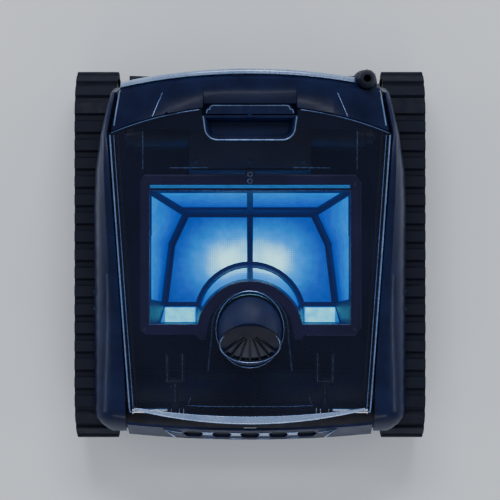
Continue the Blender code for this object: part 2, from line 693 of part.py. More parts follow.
# ---------------------------------------------------------------- outer shells
def build_side_cover(side, word):
    """The curved skirt from the lid's edge out over the track."""
    inner_front = LID_FRONT_HALF + 3.5
    stations = [FRONT + 12.0, FRONT + 15.0, FRONT + 21.0, FRONT + 29.0, HINGE_Y]
    span = LID_SIDE_REAR_Y - HINGE_Y
    stations += [HINGE_Y + span * i / 8 for i in range(1, 9)]
    tail = REAR - 24.0
    stations += [tail - 38.0, tail - 24.0, tail - 10.0, tail - 4.0, tail]
    rings = []
    for y in stations:
        x_in = max(lid_half(y) + 1.5, inner_front)
        if y > LID_SIDE_REAR_Y:
            run = REAR - REAR_INSET - REAR_SAG - LID_SIDE_REAR_Y
            x_in -= (HANDLE_HALF - REAR_CORNER_HALF) * (y - LID_SIDE_REAR_Y) / run
        z_in = lid_z(lid_half(y), min(y, LID_SIDE_REAR_Y)) - 1.0
        z_out = TRACK_RADIUS * 2 + 5.0
        if y < HINGE_Y:
            fall = ((HINGE_Y - y) / (HINGE_Y - stations[0])) ** 2.5
            z_in -= 27.0 * fall
            z_out -= 17.0 * fall
        if y > tail - 12.0:
            fall = ((y - tail + 12.0) / 12.0) ** 1.5
            z_in -= 68.0 * fall
            z_out -= 10.0 * fall
        x_out = cover_out(y)
        outer = []
        for i in range(7):
            angle = math.radians(90 * i / 6)
            x = x_in + (x_out - x_in) * math.sin(angle) ** 0.85
            outer.append((x, z_out + (z_in - z_out) * math.cos(angle)))
        outer.append((x_out, z_out - 3.0))
        rings.append([(side * u, y, v) for u, v in stroke(outer, SHELL - 0.5)])
    loft(f"{word}_side_cover", NAVY, rings)


def nose_y(x, z):
    """The nose's middle surface: bowed from side to side, and leaning back as it goes up."""
    return FRONT + 2.0 + 8.0 * (x / (LID_FRONT_HALF + 12)) ** 2 + (z - NOSE_FRONT_Z) * NOSE_SLOPE


def build_front_nose():
    """The front wall under the lid's lip, with the window that the grille fills."""
    half = LID_FRONT_HALF + 2.0
    rings = []
    for x in mirrored([half * i / 6 for i in range(7)]):
        path = [(nose_y(x, z), z) for z in (NOSE_FRONT_Z, 112.0, 132.0)]
        path = [(path[0][0] + 3.0, 88.0), *path, (path[-1][0] + 1.0, 139.0)]
        rings.append([(x, *p) for p in stroke(path[::-1], SHELL)])
    nose = loft("front_nose", NAVY, rings)
    window = [(-100.0, 131.5), (100.0, 131.5), (88.0, 98.5), (-88.0, 98.5)]
    cut(nose, prism("cut_nose_window", NAVY, "Y", FRONT - 10, FRONT + 30, window))


def build_front_grille():
    """A frame that narrows downwards, with a row of five six-sided vents, curved to the nose."""
    top, bottom, cells = (98.3, 130.2), (86.3, 99.8), 5
    across = 12
    steps = [-1 + 2 * i / across for i in range(across + 1)]
    outline = [(t * top[0], top[1]) for t in steps] + [(-t * bottom[0], bottom[1]) for t in steps]
    vents = []
    middle, high, pitch = (top[1] + bottom[1]) / 2, 11.0, 32.5
    for k in range(cells):
        x = (k - (cells - 1) / 2) * pitch
        vent = [(x - 12.0, middle), (x - 7.5, middle + high), (x + 7.5, middle + high)]
        vents.append(vent + [(x + 12.0, middle), (x + 7.5, middle - high), (x - 7.5, middle - high)])

    def face_of(depth):
        return lambda x, z: (x, nose_y(x, z) + depth, z)

    between("front_grille", NAVY, [outline, *vents], face_of(-SHELL / 2), face_of(SHELL / 2))


def build_rear_cover():
    """The rear wall and the deck under the handle, with the boss that the cable gland stands on."""
    half = REAR_CORNER_HALF - 1.0
    deck = (DECK_TOP + DECK_BOTTOM) / 2
    rings = []
    for x in mirrored([half * i / 6 for i in range(7)]):
        y = REAR - 15.0 - 12.0 * (x / REAR_CORNER_HALF) ** 2
        path = [(y - 5, 84.0), (y, 104.0), (y, 150.0), (y - 3, 170.0), (y - 12, deck)]
        path.append((LID_SIDE_REAR_Y + 6, deck))
        rings.append([(x, *p) for p in stroke(path, SHELL)])
    cover = loft("rear_cover", NAVY, rings)
    foot = [(96.0, 6.0), (112.0, GLAND_RADIUS + 4), (DECK_BOTTOM - 8, GLAND_RADIUS + 4)]
    foot += [(DECK_BOTTOM - 2, GLAND_RADIUS + 0.7), (DECK_TOP + 2, GLAND_RADIUS + 0.7)]
    boss = lathe("join_gland_boss", NAVY, "Z", foot, (GLAND_X, GLAND_Y), 24)
    join(cover, boss)


def handle_top(x, share):
    """Height of the handle's top at x, from its front edge (0) to its rear edge (1)."""
    front = lid_z(min(abs(x), LID_REAR_HALF), max(seam_y(x), LID_SIDE_REAR_Y)) + 1.0
    bulge = HANDLE_BULGE * max(0.0, 1 - (abs(x) / (HANDLE_HALF + 8)) ** 3)
    return front + bulge * math.sin(math.pi * min(share, 0.85) * 0.62)


def build_handle():
    """The carrying handle: a broad arch from side to side, with the hand hole under its middle."""
    notch = LATCH_HALF + 2.0
    ends = [HANDLE_HALF - 1, HANDLE_HALF - 5, *(REAR_CORNER_HALF * s for s in (1.0, 0.895, 0.77))]
    stations = mirrored([*ends, HAND_HOLE_HALF + 5, HAND_HOLE_HALF, 70.0, notch + 1.0, notch, 25.0, 0.0])
    rings = []
    for x in stations:
        front = HANDLE_FRONT_MIDDLE if abs(x) <= notch else seam_y(x) + 1.0
        back = rear_y(x) - (TRIM_DEPTH + 0.5 if abs(x) <= REAR_CORNER_HALF else 1.0)
        back = max(back, front + 1.5)
        depth = back - front
        base = HAND_HOLE_TOP if abs(x) <= HAND_HOLE_HALF else DECK_TOP + GAP
        shares = (0.0, 0.12, 0.35, 0.6, 0.85, 1.0)
        top = [(front + depth * s, handle_top(x, s) - (4.0 if s == 1.0 else 0.0)) for s in shares]
        round_in = min(4.0, depth / 4)
        under = [(back, base + 4.0), (back - round_in, base), (front + round_in, base), (front, base + 2.0)]
        rings.append([(x, *p) for p in top + under])
    handle = loft("carry_handle", NAVY, rings)
    clear = GLAND_RADIUS + 1.3
    room = [(DECK_BOTTOM, clear), (GLAND_TOP + 20, clear)]
    cut(handle, lathe("cut_gland_room", NAVY, "Z", room, (GLAND_X, GLAND_Y), 24))

    rings = []
    end = GLAND_X - clear - 2.0
    for i in range(15):
        x = -REAR_CORNER_HALF + 1 + (end + REAR_CORNER_HALF - 1) * i / 14
        y, z = rear_y(x), handle_top(x, 1.0)
        section = [(y - TRIM_DEPTH, z - 1), (y - 3, z), (y - 0.8, z - 2), (y, z - 6), (y, z - TRIM_HEIGHT + 3)]
        section += [(y - 2, z - TRIM_HEIGHT), (y - TRIM_DEPTH, z - TRIM_HEIGHT)]
        rings.append([(x, *p) for p in section])
    loft("rear_trim", PALE, rings)


def build_gland():
    """The cable's way in: a collar under a domed nut. The cable's bore is open at the top."""
    base = DECK_TOP + 2 + GAP
    body = [(base, GLAND_BORE), (base, GLAND_RADIUS - 1), (GLAND_TOP - 24, GLAND_RADIUS - 1)]
    body += [(GLAND_TOP - 24, GLAND_RADIUS), (GLAND_TOP - 8, GLAND_RADIUS)]
    body += [(GLAND_TOP - 2.5, GLAND_RADIUS - 2), (GLAND_TOP, GLAND_RADIUS - 4), (GLAND_TOP, GLAND_BORE)]
    lathe("cable_gland", BLACK, "Z", body, (GLAND_X, GLAND_Y), 24, True)


# ---------------------------------------------------------------- lid
def cup_outline(grow=0.0, tail=0.0):
    """The finger cup's plan: straight at the rear, round at its front corners."""
    front, back, half = CUP_FRONT - grow, CUP_FRONT + CUP_LENGTH + tail, CUP_HALF + grow
    corner = 14.0
    made = [(half, back), (half, CUP_FRONT + CUP_LENGTH - 1.0)]
    for i in range(5):
        angle = math.radians(90 * i / 4)
        x, y = half - 2 - corner + corner * math.cos(angle), front + corner - corner * math.sin(angle)
        made.append((x, y))
    return made + [(-x, y) for x, y in made[::-1]]


def build_lid(on):
    across, along = 12, 9
    rings = []
    for i in range(across + 1):
        u = -1 + 2 * i / across
        front = lip_y(u * LID_FRONT_HALF) + lip_depth(u * LID_FRONT_HALF) + GAP
        back = seam_y(u * LID_REAR_HALF)
        upper, lower = [], []
        for k in range(along + 1):
            y = front + (back - front) * k / along
            x = u * lid_half(y)
            z = lid_z(x, y)
            upper.append((x, y, z))
            lower.append((x, y, z - LID_THICKNESS))
        rings.append(upper + lower[::-1])
    window = loft("lid_window", SMOKED, rings, on)
    notch = prism("cut_cup_notch", SMOKED, "Z", 170.0, 260.0, cup_outline(0.5, 30.0), on=on)
    angles = [math.pi * i / 12 for i in range(24)]
    mouth = [(1.02 * HOOD_WIDE * math.cos(a), PUMP_Y + 1.02 * HOOD_LONG * math.sin(a)) for a in angles]
    cut(window, notch, prism("cut_hood_mouth", SMOKED, "Z", 140.0, 230.0, mouth, on=on))

    rings = []
    for x in mirrored([LIP_HALF * i / 7 for i in range(8)]):
        y, depth = lip_y(x), lip_depth(x)
        z = lid_z(x, y)
        section = [(y, z - LIP_HEIGHT), (y, z - 1.2), (y + 1.2, z + 0.3)]
        section += [(y + depth, z + 0.5), (y + depth, z - LIP_HEIGHT)]
        rings.append([(x, *p) for p in section])
    loft("lid_lip", PALE, rings, on)

    def cup_ring(grow, drop, floor=None):
        plan = grown(cup_outline(), grow)
        return [(x, y, lid_z(x, y) - drop if floor is None else floor) for x, y in plan]

    bottom = lid_z(0, CUP_FRONT) - CUP_DEPTH
    rings = [cup_ring(-4.0, 0, bottom), cup_ring(0.0, 6.0), cup_ring(0.0, 0.0), cup_ring(-2.5, 0.0)]
    rings += [cup_ring(-3.5, 6.0), cup_ring(-7.0, 0, bottom + 2.5)]
    loft("grip_cup", NAVY, rings, on)
    for side, word in ((-1, "left"), (1, "right")):
        build_lid_arm(side, word, on)
    build_outlet(on)


def build_lid_arm(side, word, on):
    """An arm from the hinge pin to a crossbar with two prongs under the lid, and the pin."""
    knuckle = HINGE_PIN_RADIUS + 3.5

    def under(first, last, drop):
        points = [HINGE_Y + first + (last - first) * i / 4 for i in range(5)]
        return [(y, lid_z(HINGE_X + PRONG_HALF, y) - LID_THICKNESS - drop) for y in points]

    def bar(name, x0, x1, outline, holes=()):
        return prism(name, BLACK, "X", *sorted((side * x0, side * x1)), outline, holes, on)

    outline = under(6.0, ARM_REACH, 0.8)
    tip = outline[-1]
    outline += [(tip[0], tip[1] - 4.0), (tip[0] - 6, tip[1] - 6.5), (HINGE_Y + 14, HINGE_Z + 2.0)]
    for i in range(7):
        angle = math.radians(-20 - 190 * i / 6)
        outline.append((HINGE_Y + knuckle * math.cos(angle), HINGE_Z + knuckle * math.sin(angle)))
    hole = circle(HINGE_PIN_RADIUS + GAP, 12, HINGE_Y, HINGE_Z)
    edge = HINGE_X + ARM_THICKNESS / 2
    arm = bar(f"{word}_lid_arm", HINGE_X - ARM_THICKNESS / 2, edge, outline, [hole])
    ends = (ARM_REACH - 4.0, ARM_REACH + 2.0)
    cross = under(*ends, 1.2) + under(*ends, 6.0)[::-1]
    join(arm, bar(f"join_{word}_crossbar", HINGE_X - PRONG_HALF, HINGE_X + PRONG_HALF, cross))
    prong = under(ARM_REACH - 1.0, PRONG_REACH, 0.8) + under(ARM_REACH - 1.0, PRONG_REACH - 3.0, 5.4)[::-1]
    for k, x in enumerate((HINGE_X - PRONG_HALF + 0.3, HINGE_X + PRONG_HALF - 0.3 - PRONG_WIDTH)):
        join(arm, bar(f"join_{word}_prong_{k}", x, x + PRONG_WIDTH, prong))

    pin = sorted((side * (HINGE_X - HINGE_POST_HALF - 1.0), side * HINGE_PIN_END))
    lathe(f"{word}_hinge_pin", STEEL, "X", [(a, HINGE_PIN_RADIUS) for a in pin], (HINGE_Y, HINGE_Z), 12)


def build_outlet(on):
    """The hood over the pump's duct, and the barred ring over its mouth."""
    centre_z = lid_z(0, PUMP_Y) - HOOD_SINK
    top = Vector((0, PUMP_Y + 6, centre_z + 0.93 * HOOD_HIGH))
    foot = Vector((0, PUMP_Y - 0.88 * HOOD_LONG, lid_z(0, PUMP_Y - 0.88 * HOOD_LONG) + 1.0))
    slope = math.atan2(top.z - foot.z, top.y - foot.y)
    middle = (top + foot) / 2

    def ellipsoid(name, shrink):
        rings = []
        for i in range(1, 12):
            angle = math.pi * i / 12
            z = centre_z + (HOOD_HIGH - shrink) * math.cos(angle)
            wide, long = (HOOD_WIDE - shrink) * math.sin(angle), (HOOD_LONG - shrink) * math.sin(angle)
            turn = [2 * math.pi * k / 24 for k in range(24)]
            rings.append([(wide * math.cos(a), PUMP_Y + long * math.sin(a), z) for a in turn])
        return loft(name, NAVY, rings, on)

    def slab(name, point, angle, low, high):
        """A large block between two heights above a plane through point, tilted about X."""
        turn = Matrix.Rotation(angle, 3, "X")
        corners = [(x, y, z) for z in (low, high) for x, y in ((-80, -90), (80, -90), (80, 90), (-80, 90))]
        points = [point + turn @ Vector(c) for c in corners]
        walls = [(i, (i + 1) % 4, (i + 1) % 4 + 4, i + 4) for i in range(4)]
        return place(name, points, [(0, 1, 2, 3), (4, 5, 6, 7), *walls], NAVY, on)

    hood = ellipsoid("outlet_hood", 0.0)
    lid_slope = math.atan2(lid_z(0, PUMP_Y + 40) - lid_z(0, PUMP_Y - 40), 80.0)
    seat = Vector((0, PUMP_Y, lid_z(0, PUMP_Y) - LID_THICKNESS + 0.5))
    inner = ellipsoid("cut_hood_inside", SHELL - 0.5)
    mouth = slab("cut_hood_mouth_plane", middle, slope, 0.0, 70.0)
    cut(hood, inner, mouth, slab("cut_hood_seat", seat, lid_slope, -70.0, 0.0))

    length = (top - foot).length / 2
    ring = 3.2
    turn = Matrix.Rotation(slope, 3, "X")
    wide_in, long_in = GRILLE_HALF - ring, length - ring

    def in_ellipse(angle, shrink):
        return ((wide_in - shrink) * math.cos(angle), (long_in - shrink) * math.sin(angle))

    angles = [2 * math.pi * i / 32 for i in range(32)]
    outline = [(GRILLE_HALF * math.cos(a), length * math.sin(a)) for a in angles]
    hub = Vector((0.0, 0.72 * long_in))
    fan = [math.radians(-172 + 164 * k / GRILLE_BARS) for k in range(GRILLE_BARS + 1)]
    holes = []
    for first, last in zip(fan, fan[1:]):
        rim = [Vector(in_ellipse(first + (last - first) * s, 0.0)) for s in (0.1, 0.37, 0.63, 0.9)]
        inside = [hub + (rim[k] - hub) * 0.22 for k in (0, 3)]
        holes.append([tuple(p) for p in (*rim, inside[1], inside[0])])

    def level(height):
        return lambda u, v: middle + turn @ Vector((u, v, height))

    between("outlet_grille", BLACK, [outline, *holes], level(GAP), level(GAP + 2.5), on)


def build_latch():
    on = pivot("latch_slide", 0.0, LATCH_FRONT + LATCH_LENGTH / 2, lid_z(0, LATCH_FRONT))
    top = lid_z(LATCH_HALF, LATCH_FRONT) - 0.5
    bottom = top - LATCH_HEIGHT
    plan = [(-LATCH_HALF, LATCH_FRONT), (LATCH_HALF, LATCH_FRONT)]
    plan += [(LATCH_HALF - 4, LATCH_FRONT + LATCH_LENGTH), (-LATCH_HALF + 4, LATCH_FRONT + LATCH_LENGTH)]
    prism("latch_button", NAVY, "Z", bottom, top, plan, on=on)

    low = DECK_TOP + GAP + SPRING_WIRE
    high = bottom - GAP - SPRING_WIRE
    rings = []
    steps = 10 * SPRING_TURNS
    middle = Vector((0.0, LATCH_FRONT + LATCH_LENGTH / 2, 0.0))
    for i in range(steps + 1):
        angle = 2 * math.pi * i / 10
        out = Vector((math.cos(angle), math.sin(angle), 0.0))
        at = middle + out * SPRING_RADIUS + Vector((0, 0, low + (high - low) * i / steps))
        rings.append([at + out * across + Vector((0, 0, up)) for across, up in circle(SPRING_WIRE, 6)])
    loft("latch_spring", STEEL, rings)


# ---------------------------------------------------------------- canister
def tub_outline(level, grow=0.0):
    """The canister's plan inside its wall, at its top or its floor, with the arch round the pump's duct."""
    half = CANISTER_HALF - RIM_BAND
    if level == "top":
        rear, front = CANISTER_REAR - RIM_REAR_BAND, CANISTER_FRONT + RIM_BAND + 0.5
        made = [(0.0, rear), (half, rear), (half, rear - 52), (half, front + 24), (half, front)]
        centre, radius = ARCH_Y, ARCH_RADIUS
    else:
        rear, front = CANISTER_REAR - 42.5, CANISTER_FRONT + 10.5
        made = [(0.0, rear), (half - 40, rear), (half - 23, rear - 36)]
        made += [(half - 14.5, front + 21), (half - 8, front)]
        centre, radius = FLOOR_ARCH_Y, FLOOR_ARCH_RADIUS
    first = math.asin((front - centre) / radius)
    for i in range(ARCH_STEPS + 1):
        angle = first + (math.pi / 2 - first) * i / ARCH_STEPS
        made.append((radius * math.cos(angle), centre + radius * math.sin(angle)))
    made += [(-x, y) for x, y in made[-2:0:-1]]
    return grown(made, grow) if grow else made


def tub(name, finish, inner_grow, outer_grow, floor, top):
    """An open tub whose wall lies between two grown copies of the canister's plan."""
    levels = (
        ("floor", outer_grow, floor - (outer_grow - inner_grow)),
        ("top", outer_grow, top),
        ("floor", inner_grow, floor),
        ("top", inner_grow, top),
    )
    points = [(x, y, z) for level, grow, z in levels for x, y in tub_outline(level, grow)]
    size = len(points) // 4
    faces = [list(range(size)), list(range(2 * size, 3 * size))]
    for i in range(size):
        j = (i + 1) % size
        faces.append([size + i, size + j, 3 * size + j, 3 * size + i])
        # both sides of the wall are split along the same diagonal, so that they stay parallel
        first = math.dist(points[i], points[size + j]) < math.dist(points[j], points[size + i])
        for low in (0, 2 * size):
            a, b, c, d = low + i, low + j, low + size + j, low + size + i
            faces += [(a, b, c), (a, c, d)] if first else [(a, b, d), (b, c, d)]
    return place(name, points, faces, finish)


def floor_panel(side, margin):
    """One of the two large floor windows, as a plan outline."""
    outline = tub_outline("floor")
    rear_corner, bend, front_corner = outline[1], outline[2], outline[3]
    arch = [p for p in outline[5:6 + ARCH_STEPS] if p[1] > front_corner[1]]
    shape = [(0.0, rear_corner[1]), rear_corner, bend, front_corner]
    shape += [(arch[0][0], front_corner[1])] + arch
    made = grown(shape, -margin)
    return [(side * x, y) for x, y in made]


def arch_window(side):
    """The window in one half of the sloping arch wall, in plan, from the floor to the rim."""
    low_arc, high_arc = FLOOR_ARCH_RADIUS - 3.0, ARCH_RADIUS + 2.5
    low = [math.radians(16.0 + 70.6 * i / 8) for i in range(9)]
    high = [math.radians(28.0 + 58.8 * i / 8) for i in range(9)]
    made = [(low_arc * math.cos(a), FLOOR_ARCH_Y + low_arc * math.sin(a)) for a in low]
    made += [(high_arc * math.cos(a), ARCH_Y + high_arc * math.sin(a)) for a in high[::-1]]
    return [(side * x, y) for x, y in made]


def side_window(side):
    """The window in a bent side wall, in plan: it runs round the bend to the rear corner."""
    top, floor = tub_outline("top"), tub_outline("floor")
    edge = top[1][0] - 1.5
    rear = (floor[1][0] + 4.5, floor[1][1] - 1.5)
    made = [(edge, top[1][1] - 5.5), rear, (floor[2][0] + 4.0, floor[2][1])]
    made += [(floor[3][0] + 3.5, floor[3][1] + 4.0), (edge, top[3][1] + 4.0)]
    return [(side * x, y) for x, y in made]


def build_canister():
    """The frame, made by cutting windows in a tub, with the filter mesh outside it and the rim over it."""
    frame = tub("canister_frame", PLUM, 0.0, TUB_WALL, TUB_FLOOR, RIM_BOTTOM - GAP)
    rib = 3.5
    half = CANISTER_HALF - RIM_BAND
    top, floor = tub_outline("top"), tub_outline("floor")

    def post_x(z):
        share = (z - TUB_FLOOR) / (RIM_BOTTOM - GAP - TUB_FLOOR)
        return floor[1][0] + (top[1][0] - floor[1][0]) * share

    for side, word in ((-1, "left"), (1, "right")):
        panel = floor_panel(side, rib)
        cut(frame, prism(f"cut_{word}_floor_panel", PLUM, "Z", TUB_FLOOR - 10, TUB_FLOOR + 4, panel))
        arch = arch_window(side)
        cut(frame, prism(f"cut_{word}_arch_window", PLUM, "Z", TUB_FLOOR + 5, RIM_BOTTOM - 5, arch))
        rear_wall = [(rib, TUB_FLOOR + 15), (post_x(TUB_FLOOR + 15) - rib, TUB_FLOOR + 15)]
        rear_wall += [(post_x(RIM_BOTTOM - 8) - rib, RIM_BOTTOM - 8), (rib, RIM_BOTTOM - 8)]
        window = [(side * x, z) for x, z in rear_wall]
        cut(frame, prism(f"cut_{word}_rear_window", PLUM, "Y", floor[0][1] - 3, top[0][1] + 12, window))
        beside = side_window(side)
        cut(frame, prism(f"cut_{word}_side_window", PLUM, "Z", TUB_FLOOR + 5, RIM_BOTTOM - 5, beside))
        inlet = sorted((side * INLET_INNER_X, side * INLET_OUTER_X))
        low, high = (inlet[0], INLET_FRONT, TUB_FLOOR - 10), (inlet[1], INLET_REAR, TUB_FLOOR + 4)
        cut(frame, box(f"cut_{word}_frame_inlet", low, high))

    near = TUB_WALL + GAP
    mesh = tub("filter_mesh", FILTER, near, near + MESH_THICKNESS, TUB_FLOOR - near, RIM_BOTTOM - GAP)
    for side, word in ((-1, "left"), (1, "right")):
        inlet = sorted((side * INLET_INNER_X, side * INLET_OUTER_X))
        low, high = (inlet[0], INLET_FRONT, TUB_FLOOR - 10), (inlet[1], INLET_REAR, TUB_FLOOR + 4)
        cut(mesh, box(f"cut_{word}_mesh_inlet", low, high))

    rim = [(0.0, CANISTER_REAR), (CANISTER_HALF - 6, CANISTER_REAR), (CANISTER_HALF, CANISTER_REAR - 6)]
    rim += [(CANISTER_HALF, CANISTER_FRONT + 6), (CANISTER_HALF - 6, CANISTER_FRONT)]
    rim.append((ARCH_RADIUS + 2, CANISTER_FRONT))
    inner_arch = ARCH_RADIUS - ARCH_BAND
    rim += [(ARCH_RADIUS - 2, ARCH_Y - 6), (inner_arch + 2, ARCH_Y - 6)]
    angles = [math.pi * i / 16 for i in range(9)]
    rim += [(inner_arch * math.cos(a), ARCH_Y + inner_arch * math.sin(a)) for a in angles]
    rim += [(-x, y) for x, y in rim[-2:0:-1]]
    prism("canister_rim", PLUM, "Z", RIM_BOTTOM, RIM_BOTTOM + RIM_THICKNESS, rim, [tub_outline("top")])
    rod_z = RIM_BOTTOM + RIM_THICKNESS + GAP + ROD_RADIUS
    rod = [(-half + 1, ROD_RADIUS), (half - 1, ROD_RADIUS)]
    lathe("canister_rod", STEEL, "X", rod, (CANISTER_REAR - 12.5, rod_z), 10)


# ---------------------------------------------------------------- water path
def build_water_path():
    motor = [(FLOOR_TOP + GAP, 0.0), (FLOOR_TOP + GAP, PUMP_MOTOR_RADIUS)]
    motor.append((PUMP_MOTOR_TOP - 6, PUMP_MOTOR_RADIUS))
    motor += [(PUMP_MOTOR_TOP, PUMP_MOTOR_RADIUS - 6), (PUMP_MOTOR_TOP, 0.0)]
    lathe("pump_motor", MOTOR, "Z", motor, (0.0, PUMP_Y), 24)

    top = lid_z(DUCT_OUT, PUMP_Y - DUCT_OUT) - LID_THICKNESS - 1.5
    wall = [(DUCT_BOTTOM, DUCT_RADIUS), (DUCT_BOTTOM, DUCT_OUT), (top, DUCT_OUT), (top, DUCT_RADIUS)]
    duct = lathe("pump_duct", BLACK, "Z", wall, (0.0, PUMP_Y), 24, True)
    for k, angle in enumerate((-90.0, 30.0, 150.0)):
        reach = DUCT_RADIUS + DUCT_WALL / 2
        x, y = reach * math.cos(math.radians(angle)), PUMP_Y + reach * math.sin(math.radians(angle))
        low, high = (x - 3, y - 3, FLOOR_TOP + GAP), (x + 3, y + 3, DUCT_BOTTOM + 2)
        join(duct, box(f"join_duct_leg_{k}", low, high))

    on = pivot("impeller_axis", 0.0, PUMP_Y, PUMP_MOTOR_TOP)
    blade_tip = DUCT_RADIUS - IMPELLER_TIP_CLEARANCE
    blade = flanks(9.0, 2.6, blade_tip, 2.0)
    count = 16
    spans = [(PUMP_MOTOR_TOP + GAP, circle(4.0, count)), (DUCT_BOTTOM + 3, circle(4.0, count))]
    spans += [(DUCT_BOTTOM + 3.2 + 3.5 * i, toothed(4, blade, math.radians(14 * i))) for i in range(4)]
    spans += [(DUCT_BOTTOM + 14.0, circle(8.0, count)), (DUCT_BOTTOM + 18.0, circle(3.0, count))]
    loft("impeller", GEAR, [[(u, PUMP_Y + v, z) for u, v in ring] for z, ring in spans], on)

    for side, word in ((-1, "left"), (1, "right")):
        x0, x1 = sorted((side * INLET_INNER_X, side * INLET_OUTER_X))
        inside = [(x0, INLET_FRONT), (x1, INLET_FRONT), (x1, INLET_REAR), (x0, INLET_REAR)]
        outside = grown(inside, SHELL - 0.5)
        prism(f"{word}_inlet_duct", BLACK, "Z", FLOOR_TOP + GAP, MESH_BOTTOM - GAP, outside, [inside])
        flap_on = pivot(f"{word}_flap_axis", 0.0, INLET_REAR + FLAP_LAP, TUB_FLOOR + 1.3)
        low = (x0 - FLAP_LAP, INLET_FRONT - FLAP_LAP + 0.4, TUB_FLOOR + GAP)
        high = (x1 + FLAP_LAP, INLET_REAR + FLAP_LAP, TUB_FLOOR + GAP + 2.0)
        box(f"{word}_inlet_flap", low, high, FLAP, flap_on)

    board_top = FLOOR_TOP + GAP + 4.5
    lamp_y = FLOOR_ARCH_Y + FLOOR_ARCH_RADIUS + 3.0
    lamp = box("lamp_board", (-46.0, lamp_y - 14, FLOOR_TOP + GAP), (46.0, lamp_y + 14, board_top), LAMP)
    for side, word in ((-1, "left"), (1, "right")):
        dome = [(board_top - 2, 12.0), (board_top + 20, 12.0), (board_top + 25, 8.0), (board_top + 26.5, 2.0)]
        join(lamp, lathe(f"join_{word}_lamp", LAMP, "Z", dome, (side * 30.0, lamp_y), 16))


# ---------------------------------------------------------------- the assembly
SIDES = ((-1, "left"), (1, "right"))
ENDS = ((-1, "front"), (1, "rear"))

build_chassis()
build_motor_block()
for side, word in SIDES:
    build_running_gear(side, word)
    build_side_cover(side, word)
    for end, end_word in ENDS:
        build_brush(side, word, end, end_word)
for end, end_word in ENDS:
    build_brush_bearing(end, end_word)
build_front_nose()
build_front_grille()
build_rear_cover()
build_handle()
build_gland()
build_lid(pivot("lid_hinge", 0.0, HINGE_Y, HINGE_Z))
build_latch()
build_canister()
build_water_path()
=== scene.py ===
# %% [markdown]
# # A robotic pool cleaner, seen from straight above
#
# The shapes with real sizes come from the CAD model: shells, tracks, wheels, gears, hinges and the filter
# canister. This lesson gives them their looks, and adds the small pieces that nobody needs for motion or
# collision: beads, gaskets, screws, wheel spokes, woven filter cloth and the light inside.
#
# The frame comes first. It puts every CAD piece at its real place, in metres, with +Z up and the front
# towards -Y. Nothing here moves a CAD piece.

# %% Load the frame
import math

import bmesh
import bpy
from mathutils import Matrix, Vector


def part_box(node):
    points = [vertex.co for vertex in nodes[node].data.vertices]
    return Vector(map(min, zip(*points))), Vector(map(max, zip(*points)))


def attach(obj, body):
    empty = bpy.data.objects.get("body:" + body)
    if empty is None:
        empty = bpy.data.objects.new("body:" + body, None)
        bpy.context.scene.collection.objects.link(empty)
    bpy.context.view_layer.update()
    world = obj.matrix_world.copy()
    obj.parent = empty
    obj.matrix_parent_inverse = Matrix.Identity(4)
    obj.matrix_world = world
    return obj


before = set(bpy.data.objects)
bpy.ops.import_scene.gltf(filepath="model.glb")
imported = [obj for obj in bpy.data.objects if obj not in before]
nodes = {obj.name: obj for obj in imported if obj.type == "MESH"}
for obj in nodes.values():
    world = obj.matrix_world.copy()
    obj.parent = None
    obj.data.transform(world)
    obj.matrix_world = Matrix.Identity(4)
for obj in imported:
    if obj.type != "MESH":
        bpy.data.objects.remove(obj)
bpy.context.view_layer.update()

# %% [markdown]
# ## Two ways to soften an edge
#
# A moulded part never has a knife edge. Its corners are rounded by half a millimetre or more, and that small
# round is what catches the light. The CAD pieces stay as they are, so their rounding is a stack of modifiers:
# weld the seams of the imported mesh, mark which edges are sharp, bevel them, then weight the shading normals
# by face area so that the flats stay flat.

# %% Rounding and smoothing
MM = 0.001


def smoothing_group():
    """A node group that shades faces smooth and keeps edges over 32 degrees sharp."""
    group = bpy.data.node_groups.new("smooth_by_angle", "GeometryNodeTree")
    group.interface.new_socket("Geometry", in_out="INPUT", socket_type="NodeSocketGeometry")
    group.interface.new_socket("Geometry", in_out="OUTPUT", socket_type="NodeSocketGeometry")
    start, end = group.nodes.new("NodeGroupInput"), group.nodes.new("NodeGroupOutput")
    forget = group.nodes.new("GeometryNodeRemoveAttribute")
    forget.inputs["Name"].default_value = "custom_normal"
    faces = group.nodes.new("GeometryNodeSetShadeSmooth")
    edges = group.nodes.new("GeometryNodeSetShadeSmooth")
    edges.domain = "EDGE"
    edges.inputs["Shade Smooth"].default_value = False
    angle = group.nodes.new("GeometryNodeInputMeshEdgeAngle")
    over = group.nodes.new("FunctionNodeCompare")
    over.inputs[1].default_value = math.radians(32)
    group.links.new(start.outputs[0], forget.inputs["Geometry"])
    group.links.new(forget.outputs["Geometry"], faces.inputs["Geometry"])
    group.links.new(faces.outputs["Geometry"], edges.inputs["Geometry"])
    group.links.new(angle.outputs["Unsigned Angle"], over.inputs[0])
    group.links.new(over.outputs[0], edges.inputs["Selection"])
    group.links.new(edges.outputs["Geometry"], end.inputs[0])
    return group


SMOOTH = smoothing_group()


def soften(piece, width_mm, segments=2):
    """Rounds a piece's corners by a width, and shades the rest smooth."""
    weld = piece.modifiers.new("weld", "WELD")
    weld.merge_threshold = 0.00001
    piece.modifiers.new("smooth", "NODES").node_group = SMOOTH
    if width_mm:
        bevel = piece.modifiers.new("bevel", "BEVEL")
        bevel.width = width_mm * MM
        bevel.segments = segments
        bevel.angle_limit = math.radians(32)
        bevel.use_clamp_overlap = True
        piece.modifiers.new("weighted", "WEIGHTED_NORMAL").keep_sharp = True
    return piece


print("smoothing group has", len(SMOOTH.nodes), "nodes")

# %% [markdown]
# ## How a finish is put together
#
# A finish starts from the Principled shader. Colours and values that are the same all over go straight onto
# its sockets. What varies goes through nodes: a slow noise for the shade of the moulding, a finer one for
# where hands and water have dulled the gloss, and a third for the grain that the mould leaves. All of them
# read object coordinates, in metres, so that the detail has its real size and stays put when a piece moves.

